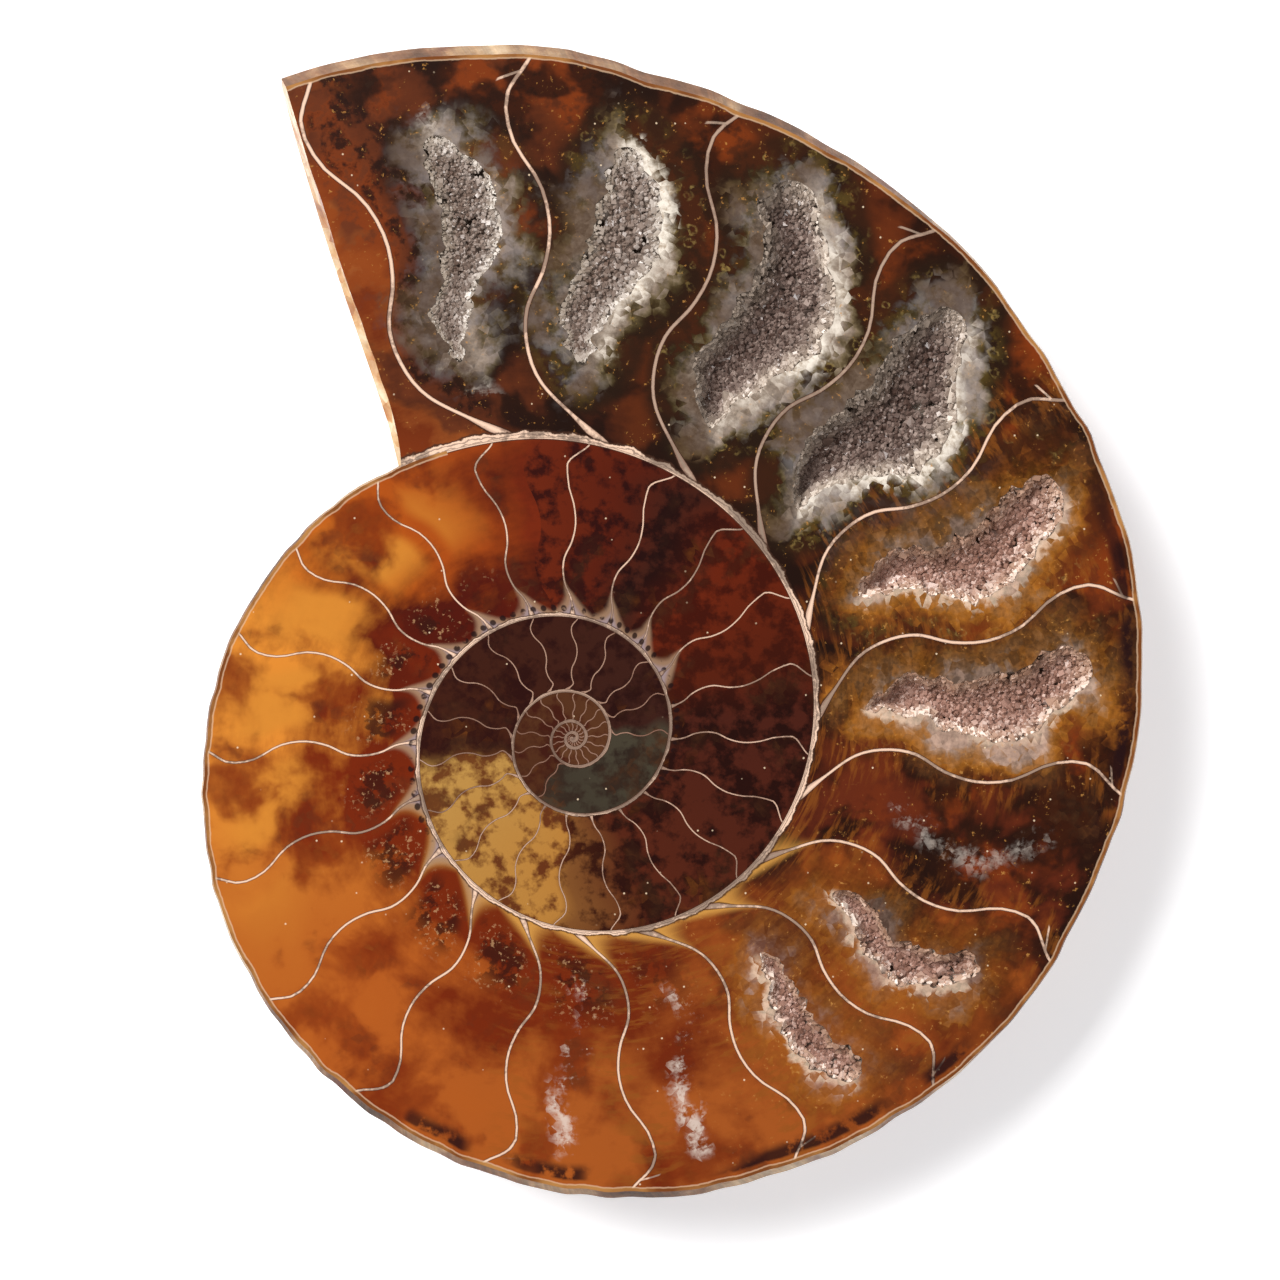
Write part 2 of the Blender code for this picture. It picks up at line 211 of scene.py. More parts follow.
def table_curve(table, place):
    """Reads a table along a smooth curve through its points."""
    x, y = table[:, 0], table[:, 1]
    slope = np.gradient(y, x)
    k = np.clip(np.searchsorted(x, place) - 1, 0, len(x) - 2)
    step = x[k + 1] - x[k]
    s = np.clip((place - x[k]) / step, 0.0, 1.0)
    ease = s * s * (3.0 - 2.0 * s)
    bend = slope[k] * (s - 2.0 * s**2 + s**3) + slope[k + 1] * (s**3 - s**2)
    return y[k] + (y[k + 1] - y[k]) * ease + step * bend


def wander(place, seed, spacing=1.0):
    """Smooth random values between -1 and 1 along a line, with one new value every spacing."""
    values = np.random.default_rng(seed).uniform(-1.0, 1.0, RANDOM_VALUES)
    place = np.asarray(place) / spacing + RANDOM_VALUES / 2
    k = np.floor(place).astype(int) % (RANDOM_VALUES - 1)
    s = place - np.floor(place)
    return values[k] + (values[k + 1] - values[k]) * s * s * (3.0 - 2.0 * s)


def whorl_radius(turns):
    return END_RADIUS * np.exp(GROWTH * turns + SLACKENING * turns * turns)


def point(radius, angle, depth):
    """Places from polar ones about the pole and depths below the polished face."""
    spots = np.broadcast_arrays(radius * np.cos(angle), radius * np.sin(angle), THICKNESS - depth)
    return np.stack(spots, axis=-1) + POLE


def crest_depth(turns):
    return THICKNESS * np.minimum(1.0, whorl_radius(turns) / whorl_radius(-LEVEL_CREST_TURNS))


def outline_swell(turns):
    small, large = wander(turns, 5, 1.0 / CHIPS_PER_TURN), wander(turns, 6, 4.0 / CHIPS_PER_TURN)
    chips = CHIP_DEPTH * (small + large)
    ends = smoothstep(-1.0, -0.95, turns) * smoothstep(0.0, -0.02, turns)
    return table_value(OUTLINE_SWELLS, turns) * MM + chips * ends


def face_inset(turns):
    """How far the polished face's edge stays inside the whorl's smooth outline."""
    near_top = smoothstep(-0.20, -0.08, turns)
    near_foot = smoothstep(-0.75, -0.62, turns) - smoothstep(-0.50, -0.40, turns)
    overhang = OVERHANG + TOP_OVERHANG * near_top + FOOT_OVERHANG * near_foot
    return (overhang - outline_swell(turns)) * smoothstep(-1.06, -1.0, turns)


def seam_angle(turns):
    crest = CREST * whorl_radius(turns)
    share = (UMBILICUS * whorl_radius(turns + 1.0) - crest) / (whorl_radius(turns) - crest)
    return np.arccos(share ** (1.0 / FLANK_WIDTH_POWER))


def flank_depth(turns, angle):
    rise = crest_depth(turns) - VENTER_DEPTH * whorl_radius(turns)
    return crest_depth(turns) - rise * (1.0 - np.sin(angle) ** FLANK_DEPTH_POWER)


def rib_height(turns, radius):
    share = radius / whorl_radius(turns)
    fade = smoothstep(0.45, 0.75, share) * smoothstep(-2.0, -0.8, turns)
    return RIB_HEIGHT * fade * np.sin(math.tau * RIBS_PER_TURN * (turns - RIB_BEND * share**2))


def section(turns, station):
    """Radius and depth of the natural side at a station of the whorl's section."""
    outer = whorl_radius(turns)
    crest = CREST * outer
    wall = np.clip(station / WALL_TOP, 0.0, 1.0)
    shoulder = np.clip((station - WALL_TOP) / (SEAM - WALL_TOP), 0.0, 1.0)
    flank = np.clip((station - SEAM) / (VENTER - SEAM), 0.0, 1.0)
    edge = np.clip(station - VENTER, 0.0, 1.0)
    foot = flank_depth(turns - 1.0, seam_angle(turns - 1.0))
    climb = (1.0 - (1.0 - wall) ** UMBILICAL_WALL_POWER) ** (1.0 / UMBILICAL_WALL_POWER)
    half_pi = math.pi / 2.0
    angle = (half_pi + (seam_angle(turns) - half_pi) * shoulder) * (1.0 - flank)
    radius = crest + (outer - crest) * np.maximum(np.cos(angle), 0.0) ** FLANK_WIDTH_POWER
    depth = flank_depth(turns, angle)
    depth = depth + rib_height(turns, radius) * np.clip(VENTER - station, 0.0, 1.0)
    radius = np.where(wall < 1.0, outer * (UMBILICUS + (CREST - UMBILICUS) * wall), radius)
    depth = np.where(wall < 1.0, foot + (crest_depth(turns) - foot) * climb, depth)
    radius = radius + outline_swell(turns) * smoothstep(0.6, 1.0, flank) * (1.0 - edge)
    radius = radius - edge * face_inset(turns)
    return radius, depth * (1.0 - edge)


def natural_side(turns, station):
    """Places of the back of the half, at turns along the coil and stations across it."""
    share = np.clip((station - SEAM) / (FACE - SEAM), 0.0, 1.0)
    heel = (BREAK_LEAN + BREAK_HEEL) * share * (1.0 - smoothstep(-1.0, BREAK_BLEND - 1.0, turns))
    radius, depth = section(turns + heel / math.tau, station)
    inner = whorl_radius(-1.0)
    share = np.clip(np.log(END_RADIUS / radius) / math.log(END_RADIUS / inner), 0.0, 1.0)
    lean = BREAK_LEAN * share + BREAK_HEEL * share**BREAK_HEEL_POWER
    lean = lean + BREAK_FLARE * (depth / THICKNESS) / np.maximum(radius, inner)
    held = np.clip(station, 0.0, 1.0) * (1.0 - np.clip(station - VENTER, 0.0, 1.0))
    lean = lean * smoothstep(-BREAK_BLEND, 0.0, turns) * held
    return point(radius, END_ANGLE + math.tau * turns + heel + lean, depth)


def face_side(turns, share):
    """Places of the polished face, at turns along the coil and height shares across it."""
    rest = 1.0 - share
    ragged = math.radians(0.5) * wander(share, 8, 0.06) * share * rest * smoothstep(-0.03, 0.0, turns)
    end_lean = BREAK_LEAN * rest + BREAK_HEEL * rest**BREAK_HEEL_POWER
    end_lean = end_lean * smoothstep(-BREAK_BLEND, 0.0, turns)
    start_lean = (BREAK_LEAN + BREAK_HEEL) * share**2
    before = start_lean * smoothstep(-1.0 - BREAK_BLEND, -1.0, turns)
    after = start_lean * (1.0 - smoothstep(-1.0, BREAK_BLEND - 1.0, turns))
    lean = np.where(turns < -1.0, before, after + end_lean + ragged)
    turns = turns + lean / math.tau
    inner = whorl_radius(turns - 1.0) - face_inset(turns - 1.0)
    outer = whorl_radius(turns) - face_inset(turns)
    return point(inner**rest * outer**share, END_ANGLE + math.tau * turns, 0.0 * turns)


def broken_end(stations):
    """Places of the rough broken end, from the last whorl's section to the whorl under it."""
    shares = np.linspace(1.0, 0.0, FACE_ROWS + 1)
    upper = face_side(np.zeros(len(shares)), shares)
    outer = natural_side(np.zeros(len(stations)), stations)
    inner = natural_side(np.full(len(stations), -1.0), np.maximum(stations, SEAM))
    span = upper[-1] - upper[0]
    along = (upper - upper[0]) @ span / (span @ span)
    spots = outer[None] + (inner - outer)[None] * along[:, None, None]
    shift = upper - (upper[0] + span * along[:, None])
    spots = spots + shift[:, None, :] * (stations / FACE)[None, :, None] ** 2
    across = np.array((span[1], -span[0], 0.0)) / np.linalg.norm(span)
    row, column = np.meshgrid(np.arange(len(shares)), np.arange(len(stations)), indexing="ij")
    rough = wander(row * 31.7 + column * 5.3, 3, 7.0) + 0.5 * wander(row * 57.1 + column * 13.9, 4, 5.0)
    held = np.sin(math.pi * row / FACE_ROWS) ** 0.5 * np.clip((FACE - stations) / 2.0, 0.0, 1.0)[None]
    held = held * np.clip((stations - SEAM) / 2.0, 0.0, 1.0)[None]
    return spots + (BREAK_ROUGHNESS * rough * held)[..., None] * across


def septum_sway(turns, height):
    """Degrees by which a septum bends forward at a height share."""
    sway = table_curve(SEPTUM_SWAY, height)
    foot = np.clip(1.0 - height / 0.19, 0.0, 1.0) ** 1.5
    sway = sway + (table_value(SWEEP_AT_FOOT, turns) + 8.0) * foot
    rim = np.exp(-(((height - 0.86) / 0.09) ** 2))
    sway = sway + (table_value(BULGE_NEAR_RIM, turns) - 3.2) * rim
    return sway + table_value(TURN_AT_RIM, turns) * smoothstep(0.88, 1.0, height)


def chamber_phase(degrees):
    """Counts the chambers back from the broken end: 1 at the first septum, 2 at the second."""
    return np.interp(-degrees, -SEPTUM_DEGREES, np.arange(len(SEPTUM_DEGREES)))


def chamber_point(phase, height, depth):
    """A place from its chamber phase, its height share and its depth below the face."""
    straight = np.interp(phase, np.arange(len(SEPTUM_DEGREES)), SEPTUM_DEGREES)
    turns = (straight + septum_sway(straight / 360.0, height)) / 360.0
    radius = whorl_radius(turns - 1.0) ** (1.0 - height) * whorl_radius(turns) ** height
    return point(radius, END_ANGLE + math.tau * turns, depth)


def hollow_shape(hollow, along, across, level, seed):
    """Phase and height of a place in a hollow. along runs outwards and across from -1 to 1."""
    chamber, _, rows = hollow
    rows = np.array(rows)
    outline = table_value(HOLLOW_PROFILE, level)
    along = 0.5 + (along - 0.5) * outline
    height = rows[0, 0] + (rows[-1, 0] - rows[0, 0]) * along
    left = table_curve(rows[:, (0, 1)], height)
    right = table_curve(rows[:, (0, 2)], height)
    tooth = along * HOLLOW_TEETH + level * 2.0
    ragged = LARGE_TEETH * wander(tooth, seed, 3.1) + SMALL_TEETH * wander(tooth, seed + 50, 1.3)
    width = (right - left) / 2.0 * np.clip(1.0 - np.abs(2.0 * along - 1.0) ** 3.2, 0.0, 1.0) ** 0.5
    width = np.maximum(width + ragged * np.minimum(1.0, width / 0.1), 0.004) * outline
    middle = (left + right) / 2.0 + 0.02 * wander(tooth, seed + 90, 9.0)
    return chamber + 2.0 - (middle + width * across), height


def deselect():
    if bpy.context.mode != "OBJECT":
        bpy.ops.object.mode_set(mode="OBJECT")
    bpy.ops.object.select_all(action="DESELECT")


def sheet(spots, materials, slot):
    """Adds a grid and moves its vertices to a table of places, in rows of columns."""
    deselect()
    rows, columns = spots.shape[:2]
    bpy.ops.mesh.primitive_grid_add(
        x_subdivisions=columns - 1, y_subdivisions=rows - 1, size=1.0, calc_uvs=False
    )
    piece = bpy.context.object
    piece.data.vertices.foreach_set("co", spots.reshape(-1))
    for material in materials:
        piece.data.materials.append(material)
    piece.data.polygons.foreach_set("material_index", [slot] * len(piece.data.polygons))
    return piece


def join(pieces, name):
    """Joins sheets into one piece and welds their edges."""
    deselect()
    for piece in pieces:
        piece.select_set(True)
    bpy.context.view_layer.objects.active = pieces[0]
    if len(pieces) > 1:
        bpy.ops.object.join()
    piece = bpy.context.object
    piece.name = piece.data.name = name
    bpy.ops.object.mode_set(mode="EDIT")
    bpy.ops.mesh.select_all(action="SELECT")
    bpy.ops.mesh.remove_doubles(threshold=MERGE_DISTANCE)
    bpy.ops.object.mode_set(mode="OBJECT")
    return piece


def turn_outwards(piece):
    """Makes all faces of a closed piece point outwards."""
    bpy.ops.object.mode_set(mode="EDIT")
    bpy.ops.mesh.select_all(action="SELECT")
    bpy.ops.mesh.normals_make_consistent(inside=False)
    form = bmesh.from_edit_mesh(piece.data)
    if form.calc_volume(signed=True) < 0.0:
        bpy.ops.mesh.flip_normals()
    bpy.ops.object.mode_set(mode="OBJECT")


def close_centres(piece):
    """Closes the pole of the polished face and the bottom of the umbilicus with fans."""
    bpy.ops.object.mode_set(mode="EDIT")
    bpy.ops.mesh.select_mode(type="FACE")
    bpy.ops.mesh.select_all(action="SELECT")
    bpy.ops.mesh.fill_holes(sides=0)
    bpy.ops.object.mode_set(mode="OBJECT")
    for polygon in piece.data.polygons:
        polygon.select = polygon.loop_total > 4
        if polygon.select:
            polygon.material_index = int(polygon.center.z < THICKNESS / 2.0)
    bpy.ops.object.mode_set(mode="EDIT")
    bpy.ops.mesh.poke()
    bpy.ops.object.mode_set(mode="OBJECT")


def hollow_cutter(materials, slot):
    """One joined solid with the shapes of all the hollows, from above the face to their floors."""
    tubes = []
    for number, hollow in enumerate(HOLLOWS):
        side = 0.5 - 0.5 * np.cos(np.linspace(0.0, math.pi, HOLLOW_SIDE_POINTS))
        along = np.concatenate((side, side[-2:0:-1], side[:1]))
        across = np.concatenate((np.full(len(side), -1.0), np.full(len(side) - 2, 1.0), (-1.0,)))
        levels = np.concatenate(((0.0,), np.linspace(0.0, 1.0, HOLLOW_LEVELS)))
        rows = []
        for row, level in enumerate(levels):
            phase, height = hollow_shape(hollow, along, across, level, number)
            depth = hollow[1] * MM * level if row else -CUTTER_RISE
            rows.append(chamber_point(phase, height, depth))
        tubes.append(sheet(np.array(rows), materials, slot))
    cutter = join(tubes, "hollow_cutter")
    bpy.ops.object.mode_set(mode="EDIT")
    bpy.ops.mesh.select_all(action="SELECT")
    bpy.ops.mesh.fill_holes(sides=0)
    bpy.ops.object.mode_set(mode="OBJECT")
    turn_outwards(cutter)
    return cutter


# The broken end leans past its own place by less than this share of a turn
PAST_END = 0.03
MOST_WHORLS = 7


def coil_places(spots, centres):
    """Turns and height shares of corners, each counted in the whorl of its face's centre."""
    angle = np.arctan2(centres[:, 1] - POLE[1], centres[:, 0] - POLE[0]) - END_ANGLE
    radius = np.hypot(centres[:, 1] - POLE[1], centres[:, 0] - POLE[0])
    turns = angle / math.tau
    turns = turns - np.ceil(turns)
    past_end = (turns + 1.0 < PAST_END) & (radius > whorl_radius(turns) - face_inset(turns))
    turns = np.where(past_end, turns + 1.0, turns)
    for _ in range(MOST_WHORLS):
        turns = np.where(radius < whorl_radius(turns - 1.0), turns - 1.0, turns)
    corner_angle = np.arctan2(spots[:, 1] - POLE[1], spots[:, 0] - POLE[0]) - END_ANGLE
    corner = corner_angle / math.tau
    corner = corner + np.round(turns - corner)
    radius = np.maximum(np.hypot(spots[:, 1] - POLE[1], spots[:, 0] - POLE[0]), 1e-5)
    inner, outer = whorl_radius(corner - 1.0), whorl_radius(corner)
    return corner, np.log(radius / inner) / np.log(outer / inner), radius


def distance_to_line(spots, line, closed=False):
    """Shortest distance in the plane from each spot to a chain of places."""
    start, end = (line, np.roll(line, -1, axis=0)) if closed else (line[:-1], line[1:])
    run = (end - start)[None, :, :2]
    gap = spots[:, None, :2] - start[None, :, :2]
    share = np.clip((gap * run).sum(2) / np.maximum((run * run).sum(2), 1e-14), 0.0, 1.0)
    return np.linalg.norm(gap - run * share[..., None], axis=2).min(axis=1)


def hollow_rim(number):
    side = np.linspace(0.0, 1.0, HOLLOW_SIDE_POINTS)
    along = np.concatenate((side, side[::-1]))
    across = np.repeat((-1.0, 1.0), len(side))
    phase, height = hollow_shape(HOLLOWS[number], along, across, 0.0, number)
    return chamber_point(phase, height, 0.0)


# White wisps in the filling that are no hollows: (chamber, rows of height share and width share)
VEILS = (
    (0, ((0.15, 0.60), (0.35, 0.62), (0.55, 0.52), (0.75, 0.45), (0.88, 0.38))),
    (6, ((0.45, 0.50), (0.60, 0.45), (0.75, 0.40), (0.85, 0.52))),
    (9, ((0.35, 0.50), (0.50, 0.62), (0.62, 0.55), (0.74, 0.42), (0.88, 0.30))),
    (10, ((0.30, 0.52), (0.46, 0.62), (0.60, 0.60), (0.72, 0.45), (0.86, 0.36))),
)
VEIL_POINTS = 40


def veil_line(veil):
    chamber, rows = veil
    rows = np.array(rows)
    height = np.linspace(rows[0, 0], rows[-1, 0], VEIL_POINTS)
    return chamber_point(chamber + 2.0 - table_curve(rows, height), height, 0.0)


# How many corners are measured at a time, to spare memory
SPOTS_AT_ONCE = 4000


def nearest_distance(spots, lines, reach, closed):
    """Distance in millimetres to the nearest of some lines, up to a reach."""
    nearest = np.full(len(spots), reach)
    for line in lines:
        low, high = line[:, :2].min(0) - reach, line[:, :2].max(0) + reach
        near = np.flatnonzero(((spots[:, :2] > low) & (spots[:, :2] < high)).all(1))
        for part in np.array_split(near, 1 + len(near) // SPOTS_AT_ONCE):
            nearest[part] = np.minimum(nearest[part], distance_to_line(spots[part], line, closed))
    return nearest / MM


# How fast the septa widen with the whorl's radius, how narrow they get, and how far the maps of the
# hollows and wisps reach
SEPTUM_GROWTH = 0.9
NARROWEST_SEPTUM = 0.13 * MM
MAP_REACH = 5.0 * MM


def lay_maps(piece, sizes):
    """Writes the maps that the materials read, corner by corner. A name in mm holds millimetres.

    Each face counts all its corners from one septum and one whorl, so that nothing jumps inside it.
    """
    mesh = piece.data
    corners = np.empty(len(mesh.loops), int)
    mesh.loops.foreach_get("vertex_index", corners)
    spots = np.empty(len(mesh.vertices) * 3)
    mesh.vertices.foreach_get("co", spots)
    spots = spots.reshape(-1, 3)
    totals = np.empty(len(mesh.polygons), int)
    mesh.polygons.foreach_get("loop_total", totals)
    centres = np.empty(len(mesh.polygons) * 3)
    mesh.polygons.foreach_get("center", centres)
    face = np.repeat(np.arange(len(totals)), totals)
    turns, height, radius = coil_places(spots[corners], centres.reshape(-1, 3)[face])
    height = np.clip(height, 0.0, 1.05)
    straight = 360.0 * turns - septum_sway(turns, height)
    phase = chamber_phase(straight)
    middle = np.add.reduceat(phase, np.cumsum(totals) - totals) / totals
    septum = SEPTUM_DEGREES[np.clip(np.round(middle), 0, len(SEPTUM_DEGREES) - 1).astype(int)][face]
    slope = (septum_sway(turns, height + 0.01) - septum_sway(turns, height - 0.01)) / 0.02
    inner, outer = whorl_radius(turns - 1.0), whorl_radius(turns)
    slant = np.radians(slope) / np.log(outer / inner)
    across = np.radians(straight - septum) * radius / np.sqrt(1.0 + slant**2) / MM
    half_width = sizes.septum_width / 2.0 * (outer / END_RADIUS) ** SEPTUM_GROWTH
    half_width = np.maximum(half_width, NARROWEST_SEPTUM / 2.0) / MM
    rims = [hollow_rim(number) for number in range(len(HOLLOWS))]
    veils = [veil_line(veil) for veil in VEILS]
    to_rim = nearest_distance(spots, rims, MAP_REACH, True)[corners]
    to_veil = nearest_distance(spots, veils, MAP_REACH, False)[corners]
    maps = {
        "coil": (phase, height),
        "septum_mm": (across, half_width),
        "wall_mm": ((radius - inner) / MM, (outer - face_inset(turns) - radius) / MM),
        "hollow_mm": (to_rim, to_veil),
        "whorl_mm": ((outer - inner) / MM, turns),
    }
    for name, values in maps.items():
        layer = mesh.uv_layers.new(name=name, do_init=False)
        layer.uv.foreach_set("vector", np.stack(values, axis=1).astype(np.float32).reshape(-1))


def node(tree, kind, inputs=(), stops=(), **settings):
    """Adds a shader node. inputs holds numbers, hex colours, or the nodes and sockets to link, and
    stops are a ramp's places and hex colours."""
    new = tree.nodes.new("ShaderNode" + kind)
    for name, value in settings.items():
        setattr(new, name, value)
    for key, value in dict(inputs).items():
        named = [s for s in new.inputs if s.enabled and s.name == key]
        socket = new.inputs[key] if isinstance(key, int) else named[0]
        if isinstance(value, bpy.types.Node):
            value = next(s for s in value.outputs if s.enabled)
        if isinstance(value, bpy.types.NodeSocket):
            tree.links.new(value, socket)
        else:
            socket.default_value = linear(value) if isinstance(value, str) else value
    for number, (place, colour) in enumerate(stops):
        ramp = new.color_ramp.elements
        stop = ramp[number] if number < 2 else ramp.new(place)
        stop.position = place
        stop.color = linear(colour)
    return new


def new_material(name):
    material = bpy.data.materials.new(name)
    material.use_nodes = True
    return material, material.node_tree, material.node_tree.nodes["Principled BSDF"]


def finish(tree, shader, settings):
    """Sets or links the shader's own sockets."""
    for name, value in settings.items():
        if isinstance(value, bpy.types.Node):
            tree.links.new(next(s for s in value.outputs if s.enabled), shader.inputs[name])
        else:
            shader.inputs[name].default_value = value


def per_mm(size):
    """Texture scale, per metre, of a pattern that repeats about every size millimetres."""
    return 1.0 / (size * MM)


# Tones of the filling, counted in chambers from the broken end. Deep is what the clear calcite
# shows, and glow is painted light: the lighter tone painted where light would come back up through it.
DEEP_TONES = (
    (0.0, "#6A2A0C"),
    (0.95, "#5A220A"),
    (1.1, "#26100A"),
    (3.0, "#200C07"),
    (5.5, "#280D07"),
    (8.0, "#2A0D08"),
    (8.5, "#4E1C0A"),
    (9.2, "#581E09"),
    (11.0, "#5E2008"),
    (13.5, "#641F06"),
    (16.0, "#621D05"),
    (18.0, "#461005"),
    (19.8, "#430F06"),
    (20.6, "#2A0A06"),
)
GLOW_TONES = (
    (0.0, "#A05A2A"),
    (0.95, "#86461C"),
    (1.1, "#5A2A14"),
    (3.0, "#4A200C"),
    (5.5, "#5E280E"),
    (8.0, "#54200F"),
    (8.5, "#824014"),
    (9.2, "#8A4418"),
    (11.0, "#8E481A"),
    (13.5, "#9A4C18"),
    (15.0, "#A45A1E"),
    (16.0, "#C07428"),
    (17.4, "#C07628"),
    (18.4, "#A04C10"),
    (19.6, "#8E3C0E"),
    (20.6, "#641F09"),
)
# Further in: (count, deep, glow)
INNER_TONES = (
    (20.0, "#300B06", "#62200A"),
    (21.6, "#260806", "#4A1608"),
    (22.4, "#190706", "#34160E"),
    (23.3, "#380D04", "#581B08"),
    (24.8, "#340E05", "#4A1808"),
    (25.6, "#1E0805", "#3E180F"),
    (29.5, "#200805", "#481C0E"),
    (30.9, "#341307", "#6E4420"),
    (31.1, "#552810", "#9C6A2E"),
    (34.8, "#5E3416", "#A0783C"),
    (35.2, "#260A07", "#36160B"),
    (43.6, "#200907", "#301610"),
    (44.0, "#241A14", "#3A3428"),
    (45.0, "#2C2018", "#332C22"),
    (45.1, "#34120A", "#432312"),
    (60.0, "#3C160B", "#4E2E1A"),
)

# Tones round a hollow, over the first 5 mm from its rim
GREY_RING = (
    (0.0, "#8A7A6C"),
    (0.14, "#78685A"),
    (0.26, "#63553E"),
    (0.4, "#4C4024"),
    (0.54, "#342814"),
    (0.8, "#20160C"),
)
PINK_RING = (
    (0.0, "#9E8272"),
    (0.1, "#906C50"),
    (0.2, "#8A5C32"),
    (0.4, "#845019"),
    (0.6, "#6C3A13"),
    (0.9, "#4A240E"),
)


# Where the tones' counts start and end, as the material maps them to its ramps
OUTER_END = 20.6
INNER_START = 20.0
INNER_END = 60.0

USUAL_HALF_WIDTH = 0.22  # millimetres, half a septum's width in the last whorl
BEADS_PER_TURN = 82.0

TIMES = {"operation": "MULTIPLY"}
PLUS = {"operation": "ADD"}
MINUS = {"operation": "SUBTRACT"}
DIVIDED_BY = {"operation": "DIVIDE"}


